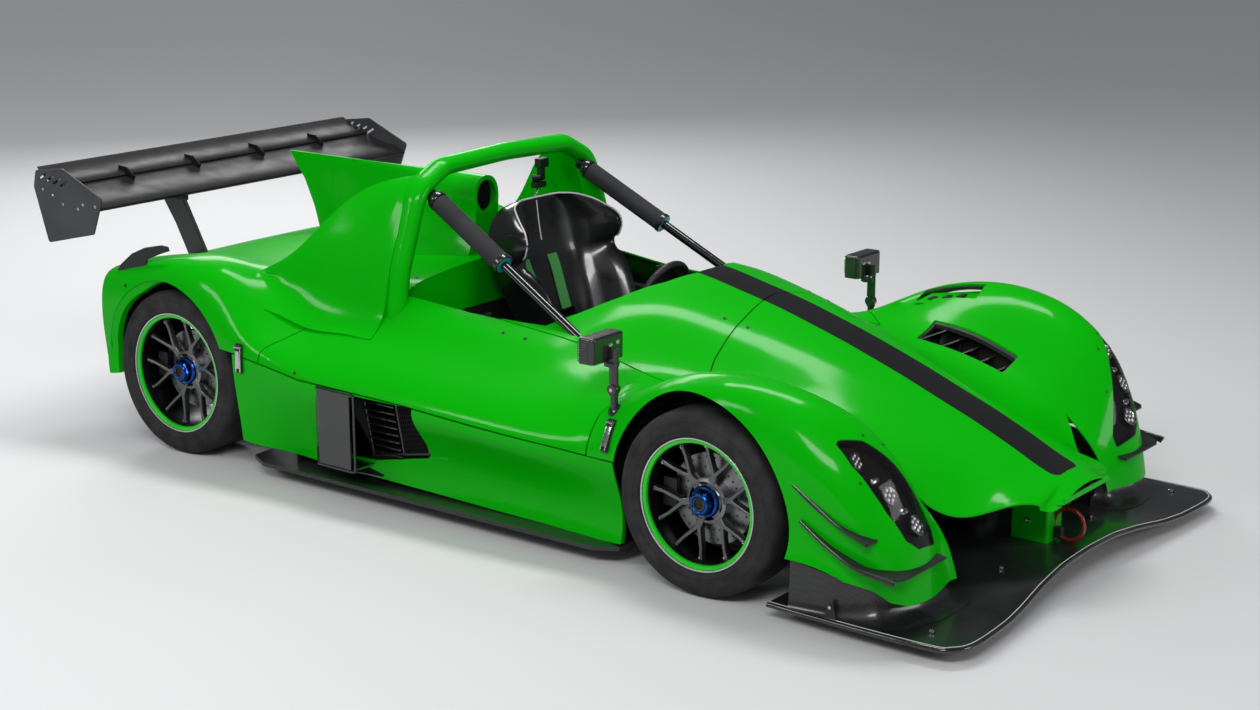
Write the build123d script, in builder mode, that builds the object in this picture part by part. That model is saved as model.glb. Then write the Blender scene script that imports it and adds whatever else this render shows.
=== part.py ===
"""Open two-seat sports prototype race car, millimetres, +X forward, +Y left, +Z up.

The origin is on the ground, half way along the car and on its centre line.
"""
from build123d import *
import math
import os

os.makedirs("parts", exist_ok=True)

# ---------------------------------------------------------------- driving sizes
front_axle_x = 1080          # front axle, ahead of the origin
wheelbase = 2357
front_tyre_radius = 290
front_tyre_width = 200
front_track = 1550           # between the middles of the front tyres
rear_tyre_radius = 302.5
rear_tyre_width = 258
rear_track = 1350
front_rim_radius = 205       # outside of the rim flange
rear_rim_radius = 218
wall = 5                     # body panel thickness
seam = 5                     # gap between two body panels
arch_clearance = 55          # front tyre to its arch
rear_arch_clearance = 42     # rear tyre to its arch
floor_top = 66
floor_thickness = 14
floor_half_width = 834
splitter_thickness = 9
splitter_front_x = 1990
splitter_rear_x = 1352
wing_half_span = 812
wing_trailing_x = -1975
plate_thickness = 6          # wing end plates
fit = 0.4                    # gap between two pieces that seat on each other

rear_axle_x = front_axle_x - wheelbase
front_wheel_y = front_track / 2
rear_wheel_y = rear_track / 2
front_arch_radius = front_tyre_radius + arch_clearance
rear_arch_radius = rear_tyre_radius + rear_arch_clearance


# ---------------------------------------------------------------- helpers
def save(part, name):
    """Label a finished piece and write its STEP file."""
    part.label = name
    export_step(part, f"parts/{name}.step")


def tube(start, end, radius):
    """A round bar between two points."""
    axis = Vector(*end) - Vector(*start)
    return Solid.make_cylinder(radius, axis.length, Plane(start, z_dir=axis))


def block(centre, size):
    """A box by its centre and its three lengths."""
    corner = [place - length / 2 for place, length in zip(centre, size)]
    return Solid.make_box(*size, Plane(corner))


def prism(corners, direction):
    """A flat outline carried along a direction."""
    return Solid.extrude(Face(Wire.make_polygon(corners, close=True)), Vector(*direction))


def prism_xz(points, y_low, y_high):
    """A side-view outline carried across the car."""
    return prism([(x, y_low, z) for x, z in points], (0, y_high - y_low, 0))


def prism_xy(points, z_low, z_high):
    """A plan-view outline carried upwards."""
    return prism([(x, y, z_low) for x, y in points], (0, 0, z_high - z_low))


def prism_yz(points, x_low, x_high):
    """A front-view outline carried forwards."""
    return prism([(x_low, y, z) for y, z in points], (x_high - x_low, 0, 0))


def with_mirror(points):
    """A plan outline from its left half, which starts and ends on the centre line."""
    return list(points) + [(x, -y) for x, y in reversed(points) if abs(y) > 1e-6]


def span_shares(rows):
    """The mean share of the way across at which each point of a station lies."""
    totals = [0.0] * len(rows[0])
    for row in rows:
        places = [0.0]
        for a, b in zip(row, row[1:]):
            places.append(places[-1] + math.dist(a, b))
        totals = [total + place / places[-1] for total, place in zip(totals, places)]
    return [total / len(rows) for total in totals]


def skin_loft(rows):
    """A closed solid under a smooth skin through rows of points, one row per station."""
    shares = span_shares(rows)
    sections = []
    for row in rows:
        top = Edge.make_spline([Vector(*point) for point in row], parameters=shares)
        sections.append(Wire([top, Edge.make_line(row[-1], row[0])]))
    return Solid.make_loft(sections)


def inset_row(row, inset, drop):
    """A station moved inwards by the wall, with its two ends carried down."""
    moved = []
    for k, (x, y, z) in enumerate(row):
        before, after = row[max(k - 1, 0)], row[min(k + 1, len(row) - 1)]
        along_y, along_z = after[1] - before[1], after[2] - before[2]
        length = math.hypot(along_y, along_z)
        moved.append((x, y + inset * along_z / length, z - inset * along_y / length))
    for end in (0, -1):
        x, y, z = moved[end]
        moved[end] = (x, y, z - drop)
    return moved


# ---------------------------------------------------------------- body skin
# One row per station along the car: x, then the left half of the section as (y, z) pairs
# from the centre line: centre, hump edge, hump flank, valley, inner slope, crown,
# shoulder, side top, side middle, side bottom.
body_stations = [
    (-1655, (0, 622), (110, 622), (260, 622), (430, 622), (590, 634),
     (690, 640), (765, 620), (796, 560), (800, 430), (790, 312)),
    (-1560, (0, 650), (110, 650), (260, 648), (440, 645), (590, 658),
     (690, 668), (770, 648), (810, 585), (815, 420), (800, 245)),
    (-1430, (0, 680), (110, 678), (260, 674), (450, 668), (590, 684),
     (690, 698), (772, 680), (822, 612), (830, 420), (808, 225)),
    (-1277, (0, 695), (110, 692), (265, 686), (455, 682), (590, 704),
     (692, 724), (780, 706), (832, 640), (842, 420), (815, 200)),
    (-1119, (0, 700), (110, 696), (270, 690), (465, 688), (592, 712),
     (696, 733), (784, 712), (838, 642), (850, 420), (820, 170)),
    (-985, (0, 703), (110, 699), (280, 692), (480, 686), (596, 694),
     (700, 696), (788, 664), (842, 580), (855, 400), (822, 140)),
    (-860, (0, 706), (110, 702), (290, 694), (500, 684), (604, 662),
     (704, 612), (790, 556), (848, 500), (857, 360), (820, 120)),
    (-730, (0, 712), (110, 708), (300, 700), (515, 680), (606, 622),
     (704, 546), (790, 498), (852, 452), (845, 320), (778, 104)),
    (-560, (0, 720), (110, 716), (310, 706), (530, 678), (610, 610),
     (706, 528), (792, 478), (858, 420), (836, 300), (768, 92)),
    (-360, (0, 735), (110, 731), (315, 716), (535, 672), (612, 606),
     (708, 524), (794, 474), (860, 404), (826, 290), (762, 84)),
    (-120, (0, 760), (110, 752), (310, 722), (528, 646), (606, 590),
     (704, 520), (794, 470), (860, 398), (816, 285), (757, 78)),
    (110, (0, 785), (110, 775), (300, 730), (508, 634), (594, 584),
     (698, 514), (790, 462), (858, 390), (808, 280), (756, 72)),
    (320, (0, 798), (110, 787), (290, 740), (480, 640), (576, 582),
     (690, 512), (782, 456), (850, 380), (800, 270), (756, 68)),
    (524, (0, 789), (110, 780), (285, 735), (445, 640), (560, 566),
     (684, 512), (772, 450), (832, 372), (792, 260), (762, 66)),
    (690, (0, 753), (110, 745), (280, 700), (430, 604), (556, 546),
     (690, 530), (774, 476), (822, 385), (793, 260), (776, 68)),
    (826, (0, 721), (110, 713), (275, 664), (428, 568), (560, 540),
     (710, 588), (800, 550), (836, 440), (812, 280), (792, 90)),
    (960, (0, 682), (110, 674), (268, 622), (430, 536), (574, 556),
     (735, 646), (832, 616), (868, 520), (850, 330), (815, 130)),
    (1080, (0, 645), (110, 636), (260, 584), (432, 508), (584, 570),
     (748, 676), (850, 650), (888, 570), (880, 380), (850, 160)),
    (1210, (0, 600), (110, 591), (252, 540), (436, 482), (590, 572),
     (750, 686), (856, 660), (895, 580), (893, 400), (880, 185)),
    (1333, (0, 555), (110, 545), (246, 494), (440, 452), (592, 552),
     (746, 674), (856, 644), (896, 560), (896, 400), (892, 198)),
    (1450, (0, 508), (110, 498), (240, 448), (446, 418), (588, 516),
     (738, 644), (850, 606), (895, 524), (896, 385), (893, 204)),
    (1550, (0, 469), (110, 459), (234, 409), (452, 376), (576, 462),
     (728, 596), (836, 548), (888, 474), (890, 350), (886, 190)),
    (1620, (0, 439), (110, 429), (230, 380), (452, 320), (572, 402),
     (718, 534), (826, 482), (872, 402), (876, 290), (868, 160)),
    (1680, (0, 412), (110, 402), (226, 356), (440, 268), (565, 328),
     (710, 452), (808, 390), (848, 300), (852, 210), (846, 110)),
    (1725, (0, 391), (110, 381), (222, 340), (425, 236), (558, 240),
     (702, 356), (794, 290), (824, 190), (828, 120), (824, 40)),
    (1765, (0, 371), (110, 361), (218, 326), (400, 214), (550, 100),
     (695, 205), (780, 140), (800, 50), (806, -20), (802, -80)),
    (1820, (0, 347), (108, 337), (213, 310), (380, 190), (540, -60),
     (685, -20), (765, -80), (780, -150), (785, -200), (782, -260)),
    (1880, (0, 326), (104, 314), (205, 286), (350, 160), (520, -200),
     (675, -240), (750, -280), (765, -330), (770, -370), (768, -420)),
    (1926, (0, 308), (100, 296), (195, 262), (330, 130), (500, -360),
     (665, -440), (735, -480), (750, -520), (755, -550), (752, -600)),
]


def full_row(station):
    """Both halves of a station as points."""
    x, half = station[0], station[1:]
    right = [(x, -y, z) for y, z in reversed(half[1:])]
    return right + [(x, y, z) for y, z in half]


rows = [full_row(station) for station in body_stations]
cavity_drop = 40             # how far the hollow is carried through the open underside
end_reach = 8                # the hollow runs out through both ends
inner_rows = [inset_row(row, wall, cavity_drop) for row in rows]
inner_rows[0] = [(x - end_reach, y, z) for x, y, z in inner_rows[0]]
inner_rows[-1] = [(x + end_reach, y, z) for x, y, z in inner_rows[-1]]

with BuildPart() as body_skin:
    add(skin_loft(rows))
    add(skin_loft(inner_rows), mode=Mode.SUBTRACT)

high = 1400                  # above everything
low = -700                   # below everything the skin reaches
wide = 1000                  # beyond either side

# plan outlines of the panels, left half from the rear to the front
bonnet_seam = [(776, 0), (803, 208), (814, 391), (862, 545), (705, 690), (640, 760), (631, wide)]
cowl_side = [(30, 508), (400, 522), (862, 545)]
cockpit_half = [(-392, 0), (-392, 470), (-340, 525), (-100, 525), (30, 508), (205, 492),
                (310, 395), (385, 320), (476, 190), (516, 80), (524, 0)]
rear_seam = [(-385, 0), (-385, 545), (-420, 600), (-695, 700), (-778, 850), (-780, wide)]
side_seam = [(-1000, 450), (-903, 445), (-582, 402), (-112, 392), (317, 368), (631, 350),
             (860, 345)]
fender_sill = [(1200, 204), (1429, 201), (1560, 180), (1680, 150), (1731, 121), (1768, 108),
               (2100, 108)]
nose_lip_z = 274
inlet_half = [(1600, 505), (1636, 478), (1759, 338), (1906, 202), (1921, 160), (2100, 160),
              (2100, 505)]
tail_sill = [(-1700, 330), (-1640, 310), (-1450, 239), (-1300, 225)]

cockpit_opening = prism_xy(with_mirror(cockpit_half), 0, high)


def wheel_arch(axle_x, axle_z, radius, y_inner):
    """The round openings over a pair of wheels."""
    opening = tube((axle_x, y_inner, axle_z), (axle_x, wide, axle_z), radius)
    return opening + opening.mirror(Plane.XZ)


front_arches = wheel_arch(front_axle_x, front_tyre_radius, front_arch_radius, 785)
rear_arches = wheel_arch(rear_axle_x, rear_tyre_radius, rear_arch_radius, 730)


def seam_step(points, step):
    """A seam line moved along X, so that two panels leave a gap."""
    return [(x + step, y) for x, y in points]


# ---------------------------------------------------------------- openings in the clam
lamp_plane = Plane((1650, 722, 402), x_dir=(0.468, -0.419, -0.778), z_dir=(0.80, -0.14, 0.57))
lamp_outline = [(-232, 14), (-150, 56), (-62, 78), (12, 92), (112, 98), (165, 72), (222, -30),
                (186, -50), (74, -46), (-50, -42), (-168, -26)]
lamp_corner = 12
lamp_depth = 46
lens_gap = 1.0


def lamp_prism(shrink):
    """The headlamp outline carried through the left fender face."""
    face = lamp_plane * make_face(FilletPolyline(*lamp_outline, radius=lamp_corner, close=True))
    smaller = face if shrink == 0 else offset(face, -shrink)
    return extrude(smaller, amount=90, both=True)


lamp_hole = lamp_prism(0)
crown_vent = prism_xy([(930, 668), (1160, 676), (1160, 752), (930, 744)], 560, high)
louvre_corners = [(1030, 500), (1370, 488), (1390, 560), (1050, 590)]


def louvre_prism(growth):
    """The louvre opening in plan, grown or shrunk, carried up through the clam."""
    middle_x = sum(x for x, _ in louvre_corners) / 4
    middle_y = sum(y for _, y in louvre_corners) / 4
    return prism_xy([(x + growth * math.copysign(1, x - middle_x),
                      y + growth * math.copysign(1, y - middle_y))
                     for x, y in louvre_corners], 380, high)


louvre_hole = louvre_prism(0)
left_openings = [lamp_hole, crown_vent, louvre_hole]

# ---------------------------------------------------------------- body panels
clam_plan = prism_xy(with_mirror(bonnet_seam + [(2100, wide), (2100, 0)]), low, high)
clam_underside = prism_xz([(500, low), (500, 350 + seam), (860, 345 + seam), (1100, 340),
                           (1200, 204)] + fender_sill[1:] + [(2100, low)], -wide, wide)
front_inlet = prism_xy(inlet_half, low, high)
nose_under = prism_xy([(1850, -170), (2100, -170), (2100, 170), (1850, 170)], low, nose_lip_z)
nose_tip_x = body_stations[-1][0]
with BuildPart() as front_clam:
    add(body_skin.part)
    add(clam_plan, mode=Mode.INTERSECT)
    add(clam_underside, mode=Mode.SUBTRACT)
    add(front_inlet, mode=Mode.SUBTRACT)
    add(front_inlet.mirror(Plane.XZ), mode=Mode.SUBTRACT)
    add(nose_under, mode=Mode.SUBTRACT)
    add(block((nose_tip_x - wall / 2, 0, nose_lip_z + 8), (wall, 300, 16)))
    add(front_arches, mode=Mode.SUBTRACT)
    for hole in left_openings:
        add(hole, mode=Mode.SUBTRACT)
        add(hole.mirror(Plane.XZ), mode=Mode.SUBTRACT)
save(front_clam.part, "front_clam")

cowl_front = seam_step(bonnet_seam[:4], -seam)
cowl_plan = prism_xy(with_mirror([(-300, 0), (-300, 505)] + cowl_side[:2]
                                 + list(reversed(cowl_front))), 300, high)
with BuildPart() as cowl:
    add(body_skin.part)
    add(cowl_plan, mode=Mode.INTERSECT)
    add(cockpit_opening, mode=Mode.SUBTRACT)
save(cowl.part, "cowl")

side_half = (seam_step(rear_seam[1:], seam)
             + [(631 - seam, wide), (640 - seam, 760), (705 - seam, 690),
                (862 - 2 * seam, 545 + seam), (400, 522 + seam), (30, 508 + seam)])
left_side_plan = prism_xy(side_half, low, high)
side_plan = left_side_plan + left_side_plan.mirror(Plane.XZ)
under_side_seam = prism_xz([(x, z + seam) for x, z in side_seam] + [(860, low), (-1000, low)],
                           -wide, wide)
with BuildPart() as side_panels:
    add(body_skin.part)
    add(side_plan, mode=Mode.INTERSECT)
    add(under_side_seam, mode=Mode.SUBTRACT)
    add(cockpit_opening, mode=Mode.SUBTRACT)
    add(front_arches, mode=Mode.SUBTRACT)
save(side_panels.part, "side_panels")

duct_low, duct_high = 130, 392
duct_rear, duct_front = -335, -60
fairing_rear = -505
duct_outline = [(fairing_rear + 25, duct_low + 10), (duct_rear, duct_low + 10), (duct_front - 20, 195),
                (duct_front, 215), (duct_front, duct_high), (duct_rear, duct_high),
                (duct_rear, duct_high - 6), (fairing_rear + 25, duct_high - 6)]
duct_opening = prism_xz(duct_outline, 710, 1010)
pod_side = prism_xz([(-903, 445), (-582, 402), (-112, 392), (317, 368), (631, 350),
                     (735, 346), (735, low), (-903, low)], -wide, wide)
with BuildPart() as side_pods:
    add(body_skin.part)
    add(pod_side, mode=Mode.INTERSECT)
    with Locations((0, 0, 0)):
        Box(3000, 1300, 1800, mode=Mode.SUBTRACT)
    add(front_arches, mode=Mode.SUBTRACT)
    add(rear_arches, mode=Mode.SUBTRACT)
    add(duct_opening, mode=Mode.SUBTRACT)
    add(duct_opening.mirror(Plane.XZ), mode=Mode.SUBTRACT)
save(side_pods.part, "side_pods")

rear_plan = prism_xy(with_mirror([(-1800, 0), (-1800, wide)] + list(reversed(rear_seam))),
                     low, high)
rear_side_seam = prism_xz([(-1000, 450 + seam), (-903, 445 + seam), (-700, 418 + seam),
                           (-700, low), (-1000, low)], -wide, wide)
pylon_y = 370
pylon_thickness = 10
pylon_outline = [(-1430, 340), (-1540, 600), (-1600, 720), (-1668, 820), (-1680, 858),
                 (-1770, 876), (-1775, 820), (-1718, 740), (-1650, 620), (-1550, 340)]


def pylon_prism(side_gap):
    """The left wing pylon, or the slot for it when a side gap is given."""
    return prism_xz(pylon_outline, pylon_y - pylon_thickness / 2 - side_gap,
                    pylon_y + pylon_thickness / 2 + side_gap)


pylon_slot = pylon_prism(seam)
tail_underside = prism_xz(tail_sill + [(-1100, 225), (-1100, low), (-1700, low)], -wide, wide)
with BuildPart() as rear_clam:
    add(body_skin.part)
    add(rear_plan, mode=Mode.INTERSECT)
    add(rear_side_seam, mode=Mode.SUBTRACT)
    add(tail_underside, mode=Mode.SUBTRACT)
    add(cockpit_opening, mode=Mode.SUBTRACT)
    add(rear_arches, mode=Mode.SUBTRACT)
    add(pylon_slot, mode=Mode.SUBTRACT)
    add(pylon_slot.mirror(Plane.XZ), mode=Mode.SUBTRACT)
save(rear_clam.part, "rear_clam")


# ---------------------------------------------------------------- headlamps
def inner_skin(inset, drop=0):
    """The solid under the skin, moved inwards, with its open underside carried down."""
    return skin_loft([inset_row(row, inset, drop) for row in rows])


bucket_wall = 4
bucket_rim = 7               # how far the bucket reaches under the clam
lamp_hull = lamp_prism(lens_gap)
lamp_shell = lamp_prism(-bucket_rim)
lamp_bore = lamp_prism(lens_gap + bucket_wall)
outer_solid = skin_loft(rows)
lens_under = inner_skin(wall)
bucket_top = inner_skin(wall + fit)
bucket_floor = inner_skin(lamp_depth)
bucket_under = inner_skin(lamp_depth + bucket_wall)
lens_left = (outer_solid & lamp_hull) - lens_under
bucket_left = ((bucket_top & lamp_shell) - bucket_under) - ((bucket_top & lamp_bore) - bucket_floor)
with BuildPart() as headlamp_lenses:
    add(lens_left)
    mirror(about=Plane.XZ)
save(headlamp_lenses.part, "headlamp_lenses")

lamp_radius = 31
lamp_places = [(1580, 800, 497), (1662, 762, 400), (1714, 708, 306)]
lamp_bodies = [extrude(Plane(place, z_dir=lamp_plane.z_dir) * Circle(lamp_radius), amount=-40)
               for place in lamp_places]
with BuildPart() as headlamps:
    add(bucket_left)
    for lamp in lamp_bodies:
        add(lamp & bucket_top)
    mirror(about=Plane.XZ)
save(headlamps.part, "headlamps")

# ---------------------------------------------------------------- louvres in the front clam
louvre_count = 5
louvre_pitch = 64
louvre_thickness = 4
louvre_flange = 7            # how far the louvre frame reaches under and into the opening
louvre_top = inner_skin(1)
louvre_low = inner_skin(38)
slat_room = (louvre_top & louvre_prism(-1)) - louvre_low
louvre_seat = inner_skin(wall + 2 * fit)
louvre_rim = (((louvre_seat & louvre_prism(louvre_flange)) - inner_skin(wall + 12))
              - louvre_prism(-louvre_flange))
slats = [Plane((1076 + index * louvre_pitch, 530, 535 - 20 * index), x_dir=(1, 0, 0.45),
               z_dir=(-0.45, 0, 1)) * Box(78, 200, louvre_thickness)
         for index in range(louvre_count)]
with BuildPart() as louvres:
    add(louvre_rim)
    for slat in slats:
        add(slat & slat_room)
    mirror(about=Plane.XZ)
save(louvres.part, "louvres")

# ---------------------------------------------------------------- splitter
blade_line = [(0, 100), (180, 97), (330, 82), (480, 62), (600, 54), (760, 53), (898, 53)]
blade_plan = [(splitter_front_x - 48, 0), (splitter_front_x - 36, 300), (splitter_front_x - 6, 600),
              (splitter_front_x, 800), (splitter_front_x - 30, 872), (splitter_front_x - 90, 898),
              (1650, 900), (splitter_rear_x, 886), (splitter_rear_x, 700), (1440, 560),
              (1330, 500), (1330, 0)]
blade_upper = [(-y, z) for y, z in reversed(blade_line[1:])] + blade_line
blade_lower = [(y, z - splitter_thickness) for y, z in reversed(blade_upper)]
blade_section = make_face(Spline(*blade_upper) + Line(blade_upper[-1], blade_lower[0])
                          + Spline(*blade_lower) + Line(blade_lower[-1], blade_upper[0]))
blade_full = extrude(Plane.YZ * blade_section, amount=2200)
blade_trim = prism_xy(with_mirror(blade_plan), 0, 200)
plinth_plan = [(1420, 590), (1420, 872), (1560, 862), (1675, 828), (1722, 752), (1748, 660),
               (1744, 545), (1640, 500), (1500, 500)]
plinth_over = prism_xz([(x, z - fit) for x, z in fender_sill] + [(2100, high), (1200, high)],
                       -wide, wide)
plinth = prism_xy(plinth_plan, 46, 240) - plinth_over - front_arches
with BuildPart() as splitter:
    add(blade_full & blade_trim)
    add(plinth)
    add(plinth.mirror(Plane.XZ))
save(splitter.part, "splitter")

# ---------------------------------------------------------------- nose mount and tow loop
blade_top_middle = 100
with BuildPart() as nose_mount:
    with BuildSketch(Plane.XY.offset(blade_top_middle + fit)) as mount_foot:
        with Locations((1760, 0)):
            RectangleRounded(130, 100, 12)
    extrude(amount=215 - fit)
save(nose_mount.part & inner_skin(wall + fit), "nose_mount")

tow_radius = 42
tow_tube = 5
tow_centre = (1862, 0, blade_top_middle + 52)
with BuildPart() as tow_loop:
    with BuildSketch(Plane(tow_centre, x_dir=(0, 1, 0), z_dir=(1, 0, 0))):
        with Locations((0, tow_radius)):
            Circle(tow_tube)
    revolve(axis=Axis(tow_centre, (1, 0, 0)))
    with Locations((tow_centre[0], 0, blade_top_middle + fit + 7)):
        Box(50, 14, 14)
save(tow_loop.part, "tow_loop")

# ---------------------------------------------------------------- floor and diffuser
floor_under = floor_top - floor_thickness
floor_half = [(1330 - fit, 0), (1330 - fit, 480), (1240, 520), (780, 520), (745, 640), (738, 790),
              (660, floor_half_width), (-800, floor_half_width), (-885, 790), (-915, 500),
              (-1290, 480), (-1290, 0)]
with BuildPart() as floor_panel:
    add(prism_xy(with_mirror(floor_half), floor_under, floor_top))
save(floor_panel.part, "floor_panel")

diffuser_exit_x = -1850
diffuser_exit_z = 230
diffuser_half_width = 520
diffuser_start_x = -1290 - fit
roof_line = [(diffuser_start_x, floor_under), (-1500, 108), (-1700, 175),
             (diffuser_exit_x, diffuser_exit_z)]
diffuser_roof = prism_xz(roof_line + [(x, z + 8) for x, z in reversed(roof_line)],
                         -diffuser_half_width, diffuser_half_width)
strake = prism_xz(roof_line + [(diffuser_exit_x, 130), (-1600, 82), (-1450, 62)], -3, 3)
diffuser_stay = prism_xz([(-1505, 112), (-1540, 124), (-1540, 246 - fit), (-1505, 239 - fit)],
                         -40, 40)
with BuildPart() as diffuser:
    add(diffuser_roof)
    for strake_y in (-diffuser_half_width + 3, -260, 0, 260, diffuser_half_width - 3):
        add(strake.moved(Pos(0, strake_y, 0)))
    add(diffuser_stay)
save(diffuser.part, "diffuser")

# ---------------------------------------------------------------- tub and cockpit
tub_half = 505
tub_front_half = 420
tub_front_x = 760
tub_rear_x = -420
tub_base = floor_top + fit
tub_floor_top = tub_base + 18
tub_top = 560
rib_thickness = 6
rib_overlap = 12             # how far a rib runs into the tub wall
duct_rib_rear = duct_rear - 4
duct_rib_front = duct_front + 2
rib_rears = (530, duct_rib_front, duct_rib_rear - rib_thickness, -700)
rib_room = inner_skin(wall + fit, cavity_drop)
tub_outer = prism_xy([(tub_rear_x, -tub_half), (tub_front_x, -tub_front_half),
                      (tub_front_x, tub_front_half), (tub_rear_x, tub_half)], tub_base, tub_top)


def tub_side(x):
    """Half the width of the tub at a place along it."""
    share = max(0, (x - tub_rear_x) / (tub_front_x - tub_rear_x))
    return tub_half - share * (tub_half - tub_front_half)


with BuildPart() as tub:
    for rib_x in rib_rears:
        rib_inner = tub_side(rib_x) - rib_overlap if rib_x > tub_rear_x else 360
        for side in (-1, 1):
            add(prism_yz([(side * rib_inner, tub_base), (side * 900, tub_base),
                          (side * 900, 640), (side * rib_inner, 640)],
                         rib_x, rib_x + rib_thickness) & rib_room)
    add(tub_outer)
    add(prism_xy([(tub_rear_x + 30, -tub_half + 40), (tub_front_x - 40, -tub_front_half + 40),
                  (tub_front_x - 40, tub_front_half - 40), (tub_rear_x + 30, tub_half - 40)],
                 tub_floor_top, 700), mode=Mode.SUBTRACT)
save(tub.part, "tub")

frame_half = 250
frame_top = [(1420, 300), (1000, 420), (tub_front_x + fit, 480)]
cowl_band = (bucket_top - inner_skin(wall + 14)) & prism_xy(
    [(742, -425), (838, -425), (838, 425), (742, 425)], 500, high)
cowl_plate = prism_yz([(-frame_half, 300), (frame_half, 300), (425, 540), (425, high), (-425, high),
                       (-425, 540)], tub_front_x + fit, tub_front_x + 14) & bucket_top
with BuildPart() as front_frame:
    add(prism_xz([(tub_front_x + fit, tub_base), (1325, tub_base),
                  (1325, blade_top_middle + fit), (1420, blade_top_middle + fit)] + frame_top,
                 -frame_half, frame_half))
    add(prism_xz([(tub_front_x + 40, 110), (1500, 130), (1500, 270), (1000, 380),
                  (tub_front_x + 40, 440)], -frame_half + 30, frame_half - 30), mode=Mode.SUBTRACT)
    add(cowl_plate)
    add(cowl_band)
save(front_frame.part, "front_frame")

with BuildPart() as rear_wall:
    add(prism_yz([(-500, tub_top + fit), (500, tub_top + fit), (500, high), (-500, high)],
                 tub_rear_x, tub_rear_x + 27) & bucket_top)
save(rear_wall.part, "rear_wall")

# ---------------------------------------------------------------- roll hoop and its sails
hoop_x = -385
hoop_line = FilletPolyline((hoop_x, 583, 600), (hoop_x, 556, 760), (hoop_x, 462, 1020),
                           (hoop_x, 330, 1086), (hoop_x, 0, 1096), (hoop_x, -330, 1086),
                           (hoop_x, -462, 1020), (hoop_x, -556, 760), (hoop_x, -583, 600),
                           radius=[260, 110, 90, 700, 90, 110, 260])
hoop_section = Plane(hoop_line @ 0, x_dir=(1, 0, 0), z_dir=hoop_line % 0) * Ellipse(44, 32)
# Each sail station: x, then its outer face as (y, z) from the deck to the top edge.
sail_stations = [
    (-400, (690, 541), (650, 577), (622, 628), (604, 700), (576, 800), (537, 900), (492, 1000),
     (430, 1072)),
    (-500, (694, 541), (652, 578), (626, 632), (608, 700), (582, 795), (548, 890), (507, 980),
     (452, 1046)),
    (-600, (702, 538), (658, 580), (632, 632), (614, 695), (592, 775), (563, 857), (528, 935),
     (486, 1006)),
    (-690, (712, 542), (668, 586), (642, 630), (622, 688), (606, 752), (586, 818), (562, 878),
     (536, 932)),
    (-780, (722, 566), (684, 596), (654, 632), (632, 676), (622, 722), (610, 766), (598, 802),
     (584, 832)),
    (-870, (745, 592), (708, 618), (676, 640), (654, 664), (640, 690), (634, 710), (628, 732),
     (621, 750)),
    (-960, (770, 655), (735, 668), (700, 684), (672, 690), (660, 694), (655, 696), (652, 698),
     (648, 700)),
]
sail_thickness = 14


def sail_section(station):
    """A closed section of the sail: outer face, top edge, inner face, foot."""
    x, outer = station[0], [(station[0], y, z) for y, z in station[1:]]
    inner = [(px, py - sail_thickness, pz) for px, py, pz in reversed(outer)]
    shares = [index / (len(outer) - 1) for index in range(len(outer))]
    out_edge = Edge.make_spline([Vector(*p) for p in outer], parameters=shares)
    in_edge = Edge.make_spline([Vector(*p) for p in inner], parameters=shares)
    return Wire([out_edge, Edge.make_line(outer[-1], inner[0]), in_edge,
                 Edge.make_line(inner[-1], outer[0])])


sail = Solid.make_loft([sail_section(station) for station in sail_stations]) - outer_solid
hoop_body = sweep(hoop_section, path=hoop_line)
hoop_feet = [outer_solid & block((hoop_x, side * 580, 600), (200, 160, 400)) for side in (-1, 1)]
with BuildPart() as roll_hoop:
    add(hoop_body)
    for foot in hoop_feet:
        add(foot, mode=Mode.SUBTRACT)
    add(sail)
    add(sail.mirror(Plane.XZ))
save(roll_hoop.part, "roll_hoop")

# ---------------------------------------------------------------- intake spine and shark fin
spine_mouth_x = -470
mouth_height = 66
mouth_half_width = 52
mouth_z = 926
# Each spine station: x, half widths and heights from the top down to the deck.
spine_stations = [
    (spine_mouth_x, (0, 1000), (44, 984), (66, 928), (62, 850), (84, 770), (120, 700)),
    (-600, (0, 1001), (40, 982), (60, 925), (62, 850), (96, 770), (150, 700)),
    (-760, (0, 999), (26, 980), (38, 915), (50, 840), (92, 765), (170, 700)),
    (-920, (0, 997), (11, 978), (18, 900), (34, 820), (76, 745), (160, 694)),
    (-1080, (0, 996), (7, 970), (10, 890), (20, 800), (52, 730), (120, 690)),
    (-1240, (0, 995), (6.5, 968), (7.5, 890), (11, 800), (24, 722), (70, 684)),
]


def spine_section(station):
    """A closed section of the spine, both halves."""
    x, half = station[0], station[1:]
    ring = [(x, -y, z) for y, z in reversed(half[1:])] + [(x, y, z) for y, z in half]
    shares = [index / (len(ring) - 1) for index in range(len(ring))]
    top = Edge.make_spline([Vector(*p) for p in ring], parameters=shares)
    return Wire([top, Edge.make_line(ring[-1], ring[0])])


fin_half = 6
fin_blade = prism_xz([(-1100, 995), (-1464, 995), (-1387, 893), (-1340, 793), (-1312, 700),
                      (-1290, 680), (-1100, 680)], -fin_half, fin_half)
spine = Solid.make_loft([spine_section(station) for station in spine_stations])
mouth_bore = extrude(Plane((spine_mouth_x + 1, 0, mouth_z), z_dir=(-1, 0, 0))
                     * Ellipse(mouth_height - 8, mouth_half_width), amount=150)
with BuildPart() as engine_cover_fin:
    add(spine + fin_blade)
    add(mouth_bore, mode=Mode.SUBTRACT)
    add(outer_solid, mode=Mode.SUBTRACT)
save(engine_cover_fin.part, "engine_cover_fin")

# ---------------------------------------------------------------- rear wing
main_chord = [(-1622, 868), (-1650, 884), (-1720, 898), (-1790, 912), (-1850, 930),
              (-1790, 898), (-1720, 876), (-1660, 858), (-1632, 856)]
flap_chord = [(-1832, 932), (-1850, 943), (-1900, 954), (-1950, 972), (wing_trailing_x, 986),
              (-1948, 960), (-1900, 936), (-1856, 924)]


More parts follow.
